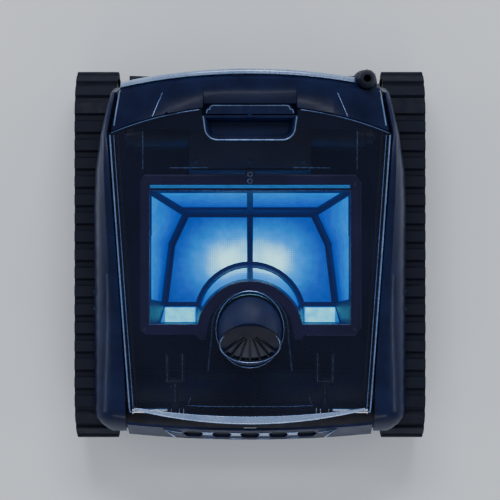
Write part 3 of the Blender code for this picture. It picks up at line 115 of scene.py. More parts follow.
# %% Node helpers
def blank(name, colour, roughness, **sockets):
    """A material with its even values on the shader."""
    made = bpy.data.materials.new(name)
    made.use_nodes = True
    shader = made.node_tree.nodes["Principled BSDF"]
    shader.inputs["Base Color"].default_value = (*colour, 1.0)
    shader.inputs["Roughness"].default_value = roughness
    for socket, value in sockets.items():
        shader.inputs[socket.replace("_", " ")].default_value = value
    return made


def lay(made, kind, inputs, **settings):
    """Adds a node. An input is a value, or the output of another node."""
    node = made.node_tree.nodes.new(kind)
    for key, value in settings.items():
        setattr(node, key, value)
    for key, value in inputs.items():
        if isinstance(value, bpy.types.NodeSocket):
            made.node_tree.links.new(value, node.inputs[key])
        else:
            node.inputs[key].default_value = value
    return node


def shader_of(made):
    return made.node_tree.nodes["Principled BSDF"]


def feed(made, socket, output):
    made.node_tree.links.new(output, shader_of(made).inputs[socket])


def places(made, stretch=(1, 1, 1)):
    """Object coordinates, stretched if the grain runs one way."""
    where = lay(made, "ShaderNodeTexCoord", {}).outputs["Object"]
    if stretch == (1, 1, 1):
        return where
    return lay(made, "ShaderNodeMapping", {"Vector": where, "Scale": stretch}).outputs["Vector"]


def cloud(made, size_mm, detail=3.0, stretch=(1, 1, 1)):
    """Noise whose blotches are about this size."""
    settings = {"Vector": places(made, stretch), "Scale": 1000.0 / size_mm, "Detail": detail}
    return lay(made, "ShaderNodeTexNoise", settings).outputs["Fac"]


def between(made, factor, low, high, start=0.3, end=0.7):
    """A factor's middle range, spread over low to high."""
    ends = {"Value": factor, "From Min": start, "From Max": end, "To Min": low, "To Max": high}
    return lay(made, "ShaderNodeMapRange", ends).outputs["Result"]


def two_shades(made, factor, dark, light):
    ramp = lay(made, "ShaderNodeValToRGB", {"Fac": factor})
    ramp.color_ramp.elements[0].color = (*dark, 1.0)
    ramp.color_ramp.elements[1].color = (*light, 1.0)
    ramp.color_ramp.elements[0].position = 0.32
    ramp.color_ramp.elements[1].position = 0.68
    return ramp.outputs["Color"]


def relief(made, height, depth_mm, under=None, strength=1.0):
    """A bump of that depth. It adds to the one under it."""
    inputs = {"Height": height, "Distance": depth_mm * MM, "Strength": strength}
    if under:
        inputs["Normal"] = under
    return lay(made, "ShaderNodeBump", inputs).outputs["Normal"]


# %% [markdown]
# ## Moulded plastics
#
# Most of the cleaner is injection-moulded. A glossy shell is nearly even, with a faint flow in its shade and
# soft water marks. An inner part is spark-eroded: a fine pebbled grain. Both are one recipe with different
# sizes, so it is a function. The canister's frame is thin plastic that passes a little of the light inside,
# so its finish also glows faintly. The shells reflect little, because they are seen against a dark inside.

# %% The moulded recipe
def moulded(name, dark, light, gloss, grain_mm, grain_depth, **sockets):
    made = blank(name, light, gloss[0], **sockets)
    feed(made, "Base Color", two_shades(made, cloud(made, 34, 4), dark, light))
    marks = cloud(made, 11, 5)
    fine = cloud(made, 1.3, 2)
    mixed = lay(made, "ShaderNodeMath", {0: marks, 1: fine}, operation="MULTIPLY").outputs[0]
    feed(made, "Roughness", between(made, mixed, gloss[0], gloss[1], 0.12, 0.42))
    flow = relief(made, cloud(made, 60, 2), 0.35, strength=0.35)
    feed(made, "Normal", relief(made, cloud(made, grain_mm, 3), grain_depth, flow, 0.5))
    return made


COAT = {"Coat_Weight": 0.05, "Coat_Roughness": 0.12, "Specular_IOR_Level": 0.14}
DULL = {"Specular_IOR_Level": 0.25}
SHELL = moulded("navy_gloss", (0.004, 0.007, 0.030), (0.008, 0.013, 0.050), (0.26, 0.42), 1.6, 0.02, **COAT)
INNER = moulded(
    "black_grained", (0.003, 0.004, 0.012), (0.007, 0.009, 0.022), (0.46, 0.64), 0.9, 0.06, **DULL
)
DOME = moulded("navy_satin", (0.006, 0.011, 0.045), (0.010, 0.018, 0.070), (0.46, 0.62), 1.4, 0.03, **DULL)
PLUM = ((0.018, 0.013, 0.075), (0.032, 0.024, 0.120), (0.34, 0.50), 1.2, 0.04)
CANISTER = moulded("plum_satin", *PLUM, **DULL)
# A lighter plum for the rim's outer edge: its colour paints the highlight on the rounded rim.
PLUM_HIGHLIGHT = moulded("plum_painted_highlight", (0.070, 0.060, 0.200), (0.110, 0.100, 0.300), (0.24, 0.40), 1.0, 0.02)
LIT_FRAME = moulded("lit_plum", *PLUM, **DULL)
shader_of(LIT_FRAME).inputs["Emission Color"].default_value = (0.004, 0.020, 0.16, 1)
shader_of(LIT_FRAME).inputs["Emission Strength"].default_value = 0.5
SCREEN = moulded("navy_screen", (0.006, 0.010, 0.034), (0.012, 0.018, 0.056), (0.34, 0.52), 0.7, 0.10)
SEALED = moulded("sealed_grey", (0.020, 0.023, 0.034), (0.040, 0.044, 0.060), (0.40, 0.58), 1.4, 0.05)
NYLON = moulded("grey_nylon", (0.085, 0.095, 0.115), (0.150, 0.165, 0.195), (0.38, 0.55), 1.1, 0.04)
print("moulded finishes:", SHELL.name, INNER.name, CANISTER.name, SEALED.name, NYLON.name)

# %% [markdown]
# ## Rubber, painted metal and bright metal
#
# Track rubber is nearly black, dull, and dusty where it meets the floor, so a slow noise mixes a grey-green
# film over it. The brushes are a softer, bluer rubber. The trim is silver paint with flakes: a cell texture
# tilts the surface a little from flake to flake. Turned steel has long fine lines along its length.

# %% Rubber and metals
def rubber(name, clean, dusty, dust_mm, grain_mm):
    made = blank(name, clean, 0.7, Specular_IOR_Level=0.25)
    dust = cloud(made, dust_mm, 6)
    feed(made, "Base Color", two_shades(made, dust, clean, dusty))
    feed(made, "Roughness", between(made, dust, 0.58, 0.86))
    pitted = relief(made, cloud(made, 7, 4), 0.25, strength=0.4)
    feed(made, "Normal", relief(made, cloud(made, grain_mm, 2), 0.10, pitted, 0.7))
    return made


def silver_paint(name, dark, light):
    made = blank(name, light, 0.25, Metallic=0.55, Coat_Weight=0.4, Coat_Roughness=0.06)
    feed(made, "Base Color", two_shades(made, cloud(made, 26, 4), dark, light))
    flakes = lay(made, "ShaderNodeTexVoronoi", {"Vector": places(made), "Scale": 1600.0})
    feed(made, "Roughness", between(made, cloud(made, 5, 4), 0.18, 0.36))
    feed(made, "Normal", relief(made, flakes.outputs["Distance"], 0.015, strength=0.25))
    return made


def turned_steel(name, dark, light, run):
    made = blank(name, light, 0.28, Metallic=1.0)
    lines = cloud(made, 0.8, 3, run)
    feed(made, "Base Color", two_shades(made, lines, dark, light))
    feed(made, "Roughness", between(made, lines, 0.20, 0.42))
    feed(made, "Normal", relief(made, lines, 0.02, strength=0.4))
    return made


TRACK = rubber("track_rubber", (0.003, 0.004, 0.012), (0.007, 0.009, 0.022), 14, 0.8)
BRUSH = rubber("brush_rubber", (0.012, 0.016, 0.030), (0.030, 0.038, 0.060), 9, 0.6)
GASKET = rubber("gasket_rubber", (0.006, 0.006, 0.009), (0.014, 0.014, 0.018), 12, 0.5)
# Silver trim. Where the rear edge and the lid's lip show a bright band, its pale colour is partly painted
# highlight.
TRIM_AND_HIGHLIGHT = silver_paint("silver_trim_and_painted_highlight", (0.24, 0.34, 0.58), (0.36, 0.48, 0.76))
# The dim and blue versions colour pale beads whose colour paints thin highlight lines along edges. The blue
# one also colours a few small parts.
PAINTED_HIGHLIGHT = silver_paint("painted_highlight_dim", (0.13, 0.19, 0.37), (0.20, 0.29, 0.52))
EDGE = silver_paint("blue_edge_and_painted_highlight", (0.07, 0.11, 0.26), (0.12, 0.19, 0.40))
STEEL = turned_steel("turned_steel", (0.42, 0.44, 0.47), (0.68, 0.70, 0.73), (0.08, 1, 1))
# The filter's rod: blue steel whose emission paints the lamps' blue glow on it, though the rod is no lamp.
BLUE_GLOW_STEEL = turned_steel("blue_steel_painted_glow", (0.02, 0.14, 0.42), (0.06, 0.28, 0.66), (0.08, 1, 1))
shader_of(BLUE_GLOW_STEEL).inputs["Emission Color"].default_value = (0.01, 0.26, 0.90, 1)
shader_of(BLUE_GLOW_STEEL).inputs["Emission Strength"].default_value = 0.5
SCREW = turned_steel("screw_steel", (0.06, 0.07, 0.10), (0.12, 0.14, 0.19), (1, 1, 1))
MOTOR = moulded(
    "motor_paint", (0.030, 0.034, 0.040), (0.060, 0.066, 0.076), (0.30, 0.48), 0.9, 0.03, Metallic=0.5
)
print("rubbers and metals:", TRACK.name, BRUSH.name, TRIM_AND_HIGHLIGHT.name, STEEL.name)

# %% [markdown]
# ## The smoked lid
#
# The lid is clear plastic with a navy tint. Real refraction would slow the render and blacken everything
# under the lid, because lights can't easily shine through it. Alpha does the job: part of each ray goes
# straight on. Faint swirls of fine scratches, from years of wiping, only show in the gloss.

# %% Clear finishes
def smoked(name, dark, light, alpha):
    made = blank(name, light, 0.06, Alpha=alpha, IOR=1.49)
    feed(made, "Base Color", two_shades(made, cloud(made, 70, 2), dark, light))
    swirl = lay(
        made,
        "ShaderNodeTexWave",
        {"Vector": places(made), "Scale": 26.0, "Distortion": 14.0, "Detail": 3.0, "Detail Scale": 1.4},
        wave_type="RINGS",
    )
    worn = lay(made, "ShaderNodeMath", {0: swirl.outputs["Fac"], 1: cloud(made, 24, 5)}, operation="MULTIPLY")
    feed(made, "Roughness", between(made, worn.outputs[0], 0.04, 0.14, 0.2, 0.6))
    feed(made, "Normal", relief(made, cloud(made, 90, 2), 0.30, strength=0.3))
    return made


SMOKE = smoked("smoked_clear", (0.004, 0.006, 0.022), (0.008, 0.011, 0.036), 0.30)
print("smoked lid lets through", round(1 - shader_of(SMOKE).inputs["Alpha"].default_value, 2))

# %% [markdown]
# ## The light inside
#
# Two lamps on a board shine up through the woven filter cloth, so each panel glows, brightest over a lamp
# and bluer away from it. A spherical gradient around each lamp gives the fall of the light. A second, gentle
# rise towards the rim is the light that the walls catch. The weave darkens the glow between its threads.

# %% Glow and weave
lamp_low, lamp_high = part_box("lamp_board")
LAMP_Y = (lamp_low.y + lamp_high.y) / 2
LAMPS = [(side * 0.030, LAMP_Y, 0.070) for side in (-1, 1)]
HALO_REACH = 0.080
CLOTH_LOW, CLOTH_HIGH = 0.074, 0.150


def halo(made, centre, reach):
    """1 at the centre, falling smoothly to 0 at the reach."""
    moved = {"Vector": places(made), "Scale": [1 / reach] * 3, "Location": [-c / reach for c in centre]}
    at = lay(made, "ShaderNodeMapping", moved).outputs["Vector"]
    return lay(made, "ShaderNodeTexGradient", {"Vector": at}, gradient_type="QUADRATIC_SPHERE").outputs["Fac"]


def total(made, *factors):
    made_sum = factors[0]
    for factor in factors[1:]:
        made_sum = lay(made, "ShaderNodeMath", {0: made_sum, 1: factor}, operation="ADD").outputs[0]
    return made_sum


def threads(made, axis, pitch_mm):
    """Soft bands across an axis, one for each thread."""
    settings = {"Vector": places(made), "Scale": 0.314 / (pitch_mm * MM)}
    return lay(made, "ShaderNodeTexWave", settings, bands_direction=axis).outputs["Fac"]


def shades(made, factor, stops):
    """A colour ramp with a colour at each position."""
    ramp = lay(made, "ShaderNodeValToRGB", {"Fac": factor})
    elements = ramp.color_ramp.elements
    while len(elements) < len(stops):
        elements.new(0.5)
    for element, (position, colour) in zip(elements, stops):
        element.position = position
        element.color = (*colour, 1.0)
    return ramp.outputs["Color"]


def height_of(made, low, high, start, end):
    axes = lay(made, "ShaderNodeSeparateXYZ", {"Vector": places(made)})
    return between(made, axes.outputs["Z"], low, high, start, end)


def lit_cloth():
    made = blank("lit_filter_cloth", (0.02, 0.16, 0.50), 0.5, Emission_Strength=3.4)
    weave = total(made, threads(made, "X", 2.2), threads(made, "Y", 2.2), threads(made, "Z", 2.2))
    thread = between(made, weave, 0.80, 1.0, 0.6, 2.4)
    on_walls = height_of(made, 0.16, 0.54, CLOTH_LOW, CLOTH_HIGH)
    light = total(made, *[halo(made, lamp, HALO_REACH) for lamp in LAMPS], on_walls)
    blotch = between(made, cloud(made, 16, 3), 0.92, 1.06)
    light = lay(made, "ShaderNodeMath", {0: light, 1: thread}, operation="MULTIPLY").outputs[0]
    light = lay(made, "ShaderNodeMath", {0: light, 1: blotch}, operation="MULTIPLY").outputs[0]
    stops = [(0.0, (0.0, 0.008, 0.11)), (0.24, (0.0, 0.040, 0.28))]
    stops += [(0.60, (0.0, 0.21, 0.62)), (1.0, (0.36, 0.92, 1.0))]
    feed(made, "Emission Color", shades(made, light, stops))
    feed(made, "Base Color", two_shades(made, cloud(made, 8, 3), (0.0, 0.06, 0.24), (0.01, 0.12, 0.40)))
    feed(made, "Normal", relief(made, weave, 0.15, strength=0.5))
    return made


def lit_silicone(name, strength, dark, light):
    made = blank(name, light, 0.42, Emission_Strength=strength)
    soft = cloud(made, 9, 3)
    feed(made, "Emission Color", two_shades(made, soft, dark, light))
    feed(made, "Base Color", two_shades(made, cloud(made, 5, 4), dark, light))
    feed(made, "Roughness", between(made, soft, 0.32, 0.52))
    feed(made, "Normal", relief(made, cloud(made, 1.0, 2), 0.04, strength=0.5))
    return made


CLOTH = lit_cloth()
FLAP = lit_silicone("lit_flap", 2.6, (0.03, 0.50, 0.80), (0.20, 0.84, 0.96))
SILL = lit_silicone("lit_sill", 1.3, (0.0, 0.18, 0.62), (0.02, 0.30, 0.80))
LENS = lit_silicone("lamp_lens", 3.0, (0.40, 0.85, 1.0), (0.70, 0.97, 1.0))
print("lamps at", [tuple(round(v, 3) for v in lamp) for lamp in LAMPS])

# %% [markdown]
# ## The circuit board
#
# It stands sealed in the motor block, so nobody sees it until the block is opened. It still gets what a
# board has: green lacquer over copper tracks. A brick pattern with thin mortar reads as traces.

# %% Board finish
def lacquered_board():
    made = blank("green_board", (0.01, 0.12, 0.05), 0.3)
    traces = lay(
        made,
        "ShaderNodeTexBrick",
        {
            "Vector": places(made),
            "Scale": 90.0,
            "Mortar Size": 0.03,
            "Color1": (0.008, 0.10, 0.045, 1),
            "Color2": (0.012, 0.13, 0.06, 1),
            "Mortar": (0.06, 0.30, 0.12, 1),
        },
    )
    feed(made, "Base Color", traces.outputs["Color"])
    feed(made, "Roughness", between(made, cloud(made, 6, 3), 0.24, 0.40))
    feed(made, "Normal", relief(made, traces.outputs["Fac"], 0.05, strength=0.6))
    return made


BOARD = lacquered_board()
print("board finish:", BOARD.name)

# %% [markdown]
# ## Dressing the CAD pieces
#
# Every CAD piece gets its finish and a corner radius. Thin parts take a small radius, so that the bevel
# never eats a wall. The lid is one smooth skin, so it is only smoothed, with a hair of rounding at its edge.

# %% Finish and radius for each CAD piece
ENDS = ("front", "rear")
SIDES = ("left", "right")
CORNERS = [f"{end}_{side}" for end in ENDS for side in SIDES]

dressing = {
    "chassis_floor": (INNER, 0.5),
    "front_nose": (SHELL, 0.6),
    "front_grille": (SHELL, 0.35),
    "rear_cover": (SHELL, 0.6),
    "carry_handle": (SHELL, 1.2),
    # the rear trim's pale silver is partly painted highlight: the bright band of edge light on its rounded
    # edge
    "rear_trim": (TRIM_AND_HIGHLIGHT, 0.8),
    "cable_gland": (INNER, 0.6),
    "motor_block_case": (SEALED, 0.6),
    "motor_block_cover": (SEALED, 0.8),
    "control_board": (BOARD, 0.2),
    "pump_motor": (MOTOR, 0.5),
    "pump_duct": (INNER, 0.4),
    "canister_frame": (LIT_FRAME, 0.7),
    "canister_rim": (CANISTER, 1.3),
    "filter_mesh": (CLOTH, 0.0),
    "canister_rod": (BLUE_GLOW_STEEL, 0.3),
    "lamp_board": (LENS, 0.4),
    "lid_window": (SMOKE, 0.5),
    # the lip's pale silver is partly painted highlight, the bright band along its front edge
    "lid_lip": (TRIM_AND_HIGHLIGHT, 0.6),
    "grip_cup": (SHELL, 0.8),
    "outlet_hood": (DOME, 0.3),
    "outlet_grille": (INNER, 0.4),
    "latch_button": (SHELL, 1.4),
    "latch_spring": (STEEL, 0.0),
    "impeller": (INNER, 0.3),
}
for end in ENDS:
    dressing[f"{end}_brush_bearing"] = (INNER, 0.4)
for side in SIDES:
    dressing[f"{side}_side_plate"] = (INNER, 0.5)
    dressing[f"{side}_side_cover"] = (SHELL, 0.5)
    dressing[f"{side}_drive_motor"] = (MOTOR, 0.5)
    dressing[f"{side}_inlet_duct"] = (INNER, 0.3)
    dressing[f"{side}_track"] = (TRACK, 0.6)
    dressing[f"{side}_hinge_pin"] = (STEEL, 0.3)
    dressing[f"{side}_roller"] = (NYLON, 0.6)
    dressing[f"{side}_motor_pinion"] = (NYLON, 0.25)
    dressing[f"{side}_lid_arm"] = (INNER, 0.5)
    dressing[f"{side}_inlet_flap"] = (FLAP, 0.3)
for corner in CORNERS:
    dressing[f"{corner}_axle"] = (STEEL, 0.4)
    dressing[f"{corner}_wheel"] = (NYLON, 0.4)
    dressing[f"{corner}_brush"] = (BRUSH, 0.3)

for name, (finish, radius) in dressing.items():
    nodes[name].data.materials.clear()
    nodes[name].data.materials.append(finish)
    soften(nodes[name], radius)
print("bare CAD pieces:", sorted(set(nodes) - set(dressing)))

# %% [markdown]
# ## The lines of the body
#
# The added pieces follow the lid, so they need its surface. These are the same few formulas that shaped it:
# height, half width, the curve of its front lip and the curve of the seam behind it. All in millimetres.

# %% Lid surface in millimetres
LIP_Y, SEAM_Y, HINGE_Y, HINGE_Z = -192.5, 164.0, -178.0, 137.0
FRONT_HALF, REAR_HALF, SIDE_REAR_Y, CORNER_HALF = 138.0, 157.0, 135.0, 144.0


def lid_z(x, y):
    t = (y - LIP_Y) / (SEAM_Y - LIP_Y)
    return 150 + 65 * (1.35 * t - 0.35 * t * t) - 13 * (x / REAR_HALF) ** 2


def lid_half(y):
    t = min(max((y - HINGE_Y) / (SIDE_REAR_Y - HINGE_Y), 0), 1)
    return FRONT_HALF + (REAR_HALF - FRONT_HALF) * t


def seam_y(x):
    return SEAM_Y - 29 * (abs(x) / REAR_HALF) ** 2.2


lid_low, lid_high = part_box("lid_window")
print("lid from", [round(v * 1000) for v in lid_low], "to", [round(v * 1000) for v in lid_high])

# %% [markdown]
# ## Building a small piece
#
# Points in millimetres and faces go in, and an object riding on a CAD body comes out. Three shapes cover
# nearly every small part: a bead (a round wire along a path), a turned part (a profile spun round an axis)
# and a plate (an outline with a thickness).

# %% Shape helpers
def piece(name, points, faces, finish, body, slot, radius=0.0):
    mesh = bpy.data.meshes.new(name)
    mesh.from_pydata([Vector(p) * MM for p in points], [], faces)
    work = bmesh.new()
    work.from_mesh(mesh)
    bmesh.ops.remove_doubles(work, verts=work.verts, dist=0.000001)
    bmesh.ops.recalc_face_normals(work, faces=work.faces)
    work.to_mesh(mesh)
    work.free()
    mesh.materials.append(finish)
    made = bpy.data.objects.new(name, mesh)
    bpy.context.scene.collection.objects.link(made)
    soften(made, radius)
    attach(made, body)
    return made


def skin(rings, closed):
    """Points and faces over rings of equal size. A closed skin joins its last ring to its first."""
    size = len(rings[0])
    points = [p for ring in rings for p in ring]
    faces = [] if closed else [list(range(size)), list(range(len(points) - size, len(points)))]
    for r in range(len(rings) if closed else len(rings) - 1):
        for i in range(size):
            a, b = r * size + i, r * size + (i + 1) % size
            faces.append([a, b, (b + size) % len(points), (a + size) % len(points)])
    return points, faces


def bead(name, path, radius, finish, body, slot, closed=False, sides=8):
    """A round wire along a path, with its ends closed unless it is a loop."""
    path = [Vector(p) for p in path]
    rings = []
    across = Vector((0.02, 0.03, 1.0))
    for i, at in enumerate(path):
        before = path[i - 1] if i or closed else at
        after = path[(i + 1) % len(path)] if i < len(path) - 1 or closed else at
        along = (after - before).normalized()
        side = along.cross(across).normalized()
        up = side.cross(along)
        turn = [2 * math.pi * k / sides for k in range(sides)]
        rings.append([at + side * (radius * math.cos(a)) + up * (radius * math.sin(a)) for a in turn])
    return piece(name, *skin(rings, closed), finish, body, slot)


def turned(name, profile, centre, axis, finish, body, slot, sides=20, radius=0.0, hollow=False):
    """A profile of (along, radius) pairs spun round X, Y or Z through the centre."""
    order = {"X": (0, 1, 2), "Y": (1, 0, 2), "Z": (2, 0, 1)}[axis]
    rings = []
    for along, reach in profile:
        ring = []
        for k in range(sides):
            angle = 2 * math.pi * k / sides
            point = [0.0, 0.0, 0.0]
            point[order[0]] = along
            point[order[1]] = max(reach, 0.01) * math.cos(angle)
            point[order[2]] = max(reach, 0.01) * math.sin(angle)
            ring.append(Vector(point) + Vector(centre))
        rings.append(ring)
    return piece(name, *skin(rings, hollow), finish, body, slot, radius)


def plate(name, outline, axis, low, high, finish, body, slot, radius=0.4):
    """A flat outline drawn out along an axis. The outline is in the other two axes, in X, Y, Z order."""
    place = "XYZ".index(axis)
    rings = [[(*point[:place], at, *point[place:]) for point in outline] for at in (low, high)]
    return piece(name, *skin(rings, False), finish, body, slot, radius)


print("helpers ready: bead, turned, plate")

# %% [markdown]
# ## Beads along the lid
#
# A pale bead runs down each side of the lid, and a finer one beside it on the inside: their colour paints the
# double highlight line along the lid's edge. A soft dark gasket lies under the lid, a little further in. The
# seam at the rear gets a thin bead of its own.

# %% Lid beads and gasket
def side_path(side, inset, lift, first=SIDE_REAR_Y - 2, last=HINGE_Y + 4, steps=14):
    made = []
    for i in range(steps + 1):
        y = first + (last - first) * i / steps
        x = side * (lid_half(y) - inset)
        made.append((x, y, lid_z(x, y) + lift))
    return made


def corner_turn(side, inset, lift):
    """From the side of the lid round to its lip."""
    points = ((FRONT_HALF - inset - 0.6, HINGE_Y - 1), (FRONT_HALF - inset - 4, HINGE_Y - 1 + inset * 0.6))
    return [(side * x, y, lid_z(x, y) + lift) for x, y in points]


for side, word in ((-1, "left"), (1, "right")):
    # the pale beads' colour paints the lid's double highlight line
    outer = side_path(side, 1.3, 0.1) + corner_turn(side, 1.3, 0.1)
    bead(f"{word}_lid_bead", outer, 0.95, PAINTED_HIGHLIGHT, "lid", "pale_trim")
    bead(f"{word}_lid_inner_bead", side_path(side, 5.6, 0.0), 0.45, EDGE, "lid", "pale_trim")
    under_edge = side_path(side, 9.5, -5.0, last=HINGE_Y + 16)
    bead(f"{word}_lid_gasket", under_edge, 1.4, GASKET, "lid", "track_rubber")
for side, word in ((-1, "left"), (1, "right")):
    path = []
    for i in range(11):
        x = side * (56 + 98 * i / 10)
        path.append((x, seam_y(x) - 0.9, lid_z(x, seam_y(x)) + 0.0))
    bead(f"{word}_seam_bead", path, 0.5, EDGE, "lid", "pale_trim")

front_rib = [(-67, -162), (-71, -171), *((x, -172) for x in range(-48, 49, 24)), (71, -171), (67, -162)]
ribs = {
    "left_side": [(-119, 137), (-119, 116), (-119, 95)],
    "right_side": [(119, 137), (119, 116), (119, 95)],
    "left_rear": [(-89, 96.5), (-68, 96.5), (-47, 96.5)],
    "right_rear": [(89, 96.5), (68, 96.5), (47, 96.5)],
    "front": front_rib,
}
for word, plan in ribs.items():
    path = [(x, y, lid_z(x, y) - 3.3) for x, y in plan]
    bead(f"{word}_lid_rib", path, 0.5, EDGE, "lid", "smoked_lid", sides=6)
print("lid beads and", len(ribs), "ribs under the lid")

# %% [markdown]
# ## The finger cup and the latch
#
# One rounded pale outline runs round both, and its colour paints the highlight line round their edges: the
# cup's half moves with the lid, and the latch's half moves with the button. Each gets its own bead, so that
# they part when the latch is pressed.

# %% Outline beads
CUP_FRONT, CUP_REAR, CUP_HALF, CUP_CORNER = 127.0, 154.0, 52.0, 14.0
LATCH_FRONT, LATCH_REAR, LATCH_HALF = 155.5, 166.0, 49.0

cup_path = [(CUP_HALF - 0.2, CUP_REAR - 1)]
for i in range(9):
    angle = math.radians(90 * i / 8)
    x = CUP_HALF - 2 - CUP_CORNER + CUP_CORNER * math.cos(angle)
    cup_path.append((x, CUP_FRONT + CUP_CORNER - CUP_CORNER * math.sin(angle)))
cup_path += [(-x, y) for x, y in cup_path[::-1]]
# the cup bead's pale colour paints the highlight round the cup
bead("cup_bead", [(x, y, lid_z(x, y) + 0.2) for x, y in cup_path], 0.8, PAINTED_HIGHLIGHT, "lid", "pale_trim")

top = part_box("latch_button")[1].z * 1000 - 0.1
latch_path = [(LATCH_HALF - 0.9, LATCH_FRONT + 0.9), (LATCH_HALF - 2.0, LATCH_FRONT + 5)]
for i in range(5):
    angle = math.radians(90 * i / 4)
    latch_path.append((LATCH_HALF - 9 + 4.5 * math.cos(angle), LATCH_REAR - 5.6 + 4.5 * math.sin(angle)))
latch_path += [(-x, y) for x, y in latch_path[::-1]]
bead("latch_bead", [(x, y, top) for x, y in latch_path], 0.7, PAINTED_HIGHLIGHT, "latch", "pale_trim")
ribs = [(-30 + 12 * k, LATCH_FRONT + 3.4) for k in range(6)]
for k, (x, y) in enumerate(ribs):
    bead(f"latch_rib_{k}", [(x, y, top), (x, y + 4.4, top)], 0.7, SHELL, "latch", "navy_shell", sides=6)
print("cup and latch outlined with", len(cup_path) + len(latch_path), "points")

# %% [markdown]
# ## The handle's edges
#
# A pale bead carries the lid's painted highlight line on along each slanted end of the handle. A fine pale
# line, painting a faint highlight, crosses the handle where the hand hole ends. The gland stands in a notch
# at the right.

# %% Handle beads
handle_low, handle_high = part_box("carry_handle")
REAR_CORNER_Y = 191.0
HANDLE_LOW = 175.0  # what a ray finds below this isn't the handle


def top_of(x, y, start=260.0):
    """Height of the handle, the cover or the deck under a point, found by a ray from above."""
    best = -1.0
    for name in ("carry_handle", "left_side_cover", "right_side_cover", "rear_cover"):
        hit, at, _, _ = nodes[name].ray_cast(Vector((x, y, start)) * MM, Vector((0, 0, -1)))
        if hit:
            best = max(best, at.z * 1000)
    return best


for side, word in ((-1, "left"), (1, "right")):
    path = []
    for i in range(9):
        t = i / 8
        x = side * (CORNER_HALF - 1.6 + (154 - CORNER_HALF - 0.4) * t)
        y = REAR_CORNER_Y - 2.4 - (REAR_CORNER_Y - 4 - SIDE_REAR_Y) * t
        path.append((x, y, top_of(x, y) + 0.1))
    path = [point for point in path if point[2] > HANDLE_LOW]
    bead(f"{word}_handle_bead", path, 0.9, PAINTED_HIGHLIGHT, "chassis", "pale_trim")
    path = []
    for i in range(7):
        t = i / 6
        x, y = side * (96 + 12 * t), 178 - 25 * t
        path.append((x, y, top_of(x, y) - 0.1))
    bead(f"{word}_handle_highlight_line", path, 0.45, EDGE, "chassis", "pale_trim")
print("handle is", round((handle_high.z - handle_low.z) * 1000), "mm high")

# %% [markdown]
# ## Details of the canister
#
# The rim has a finer inner lip, corner screws and a small tab at the rear with two rings, where fingers
# lift the canister out. The lip is a bead that follows the rim's inside.

# %% Canister details
rim_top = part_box("canister_rim")[1].z * 1000
inner_half, inner_rear, inner_front, arch_y, arch_r = 114.0, 72.5, -79.0, -90.0, 60.0
first = math.asin((inner_front - arch_y) / arch_r)
lip_path = [(inner_half, inner_front), (inner_half, inner_rear)]
lip_path += [(-inner_half, inner_rear), (-inner_half, inner_front)]
for i in range(17):
    angle = math.pi - first - (math.pi - 2 * first) * i / 16
    lip_path.append((arch_r * math.cos(angle), arch_y + arch_r * math.sin(angle)))
dense = []
for i, (x, y) in enumerate(lip_path):
    x1, y1 = lip_path[(i + 1) % len(lip_path)]
    steps = max(1, int(math.dist((x, y), (x1, y1)) / 20))
    dense += [(x + (x1 - x) * k / steps, y + (y1 - y) * k / steps) for k in range(steps)]
lip = [(x, y, rim_top - 0.2) for x, y in dense]
bead("canister_lip", lip, 0.6, EDGE, "chassis", "canister_plastic", closed=True)

# A pale plum bead round the rim's outer edge paints the highlight on its rounded edge.
outer_rim = [(-125.2, 82), (-119, 89.7), (0, 89.7), (119, 89.7), (125.2, 82)]
outer_rim += [(125.2, 0), (125.2, -83), (119, -90.7), (64, -90.7)]
bead("rim_edge", [(x, y, rim_top - 1.6) for x, y in outer_rim], 0.7, PLUM_HIGHLIGHT, "chassis", "canister_plastic")
SILL_LOW, SILL_HIGH = 72.02, 72.24
for side, word in ((-1, "left"), (1, "right")):
    wall_foot = [(62.8, -61.2), (99.6, -61.2), (104.8, -79.4), (62.8, -79.4)]
    hole = [(66.2, -63.7), (97.8, -63.7), (97.8, -77.8), (66.2, -77.8)]
    levels = ((wall_foot, SILL_LOW), (wall_foot, SILL_HIGH), (hole, SILL_HIGH), (hole, SILL_LOW))
    rings = [[(side * x, y, z) for x, y in ring] for ring, z in levels]
    piece(f"{word}_inlet_sill", *skin(rings, True), SILL, "chassis", "flap_silicone")

tab = [(-6, 88.6), (-6, 93), (-3.5, 96), (3.5, 96), (6, 93), (6, 88.6)]
plate("canister_tab", tab, "Z", rim_top - 3.6, rim_top - 0.4, CANISTER, "chassis", "canister_plastic", 0.6)
for k, y in enumerate((83.2, 91.0)):
    ring = [(0.0, 1.7), (0.0, 3.3), (1.2, 3.0), (1.2, 2.0)]
    foot = (0, y, rim_top - 0.3)
    turned(f"canister_ring_{k}", ring, foot, "Z", TRIM_AND_HIGHLIGHT, "chassis", "pale_trim", 20, 0.2, True)
print("rim top at", round(rim_top, 1), "mm")

# %% [markdown]
# ## Screws
#
# A pan-head screw is a domed disc with a recess. The dome is a turned profile, and the recess is a six-lobed
# dent made by pulling the inner rings down. One function places them, so every screw is alike, and a list
# says where they go.

# %% Pan-head screws
def screw(name, at, axis, sign, body, head=3.0):
    """A pan head whose dome points along the axis, or against it if sign is -1."""
    profile = [(0.0, 0.0), (0.0, head), (head * 0.28, head), (head * 0.52, head * 0.72)]
    profile += [(head * 0.56, head * 0.42), (head * 0.20, head * 0.36), (head * 0.20, 0.0)]
    return turned(name, [(sign * a, r) for a, r in profile], at, axis, SCREW, body, "steel", 12, 0.0)


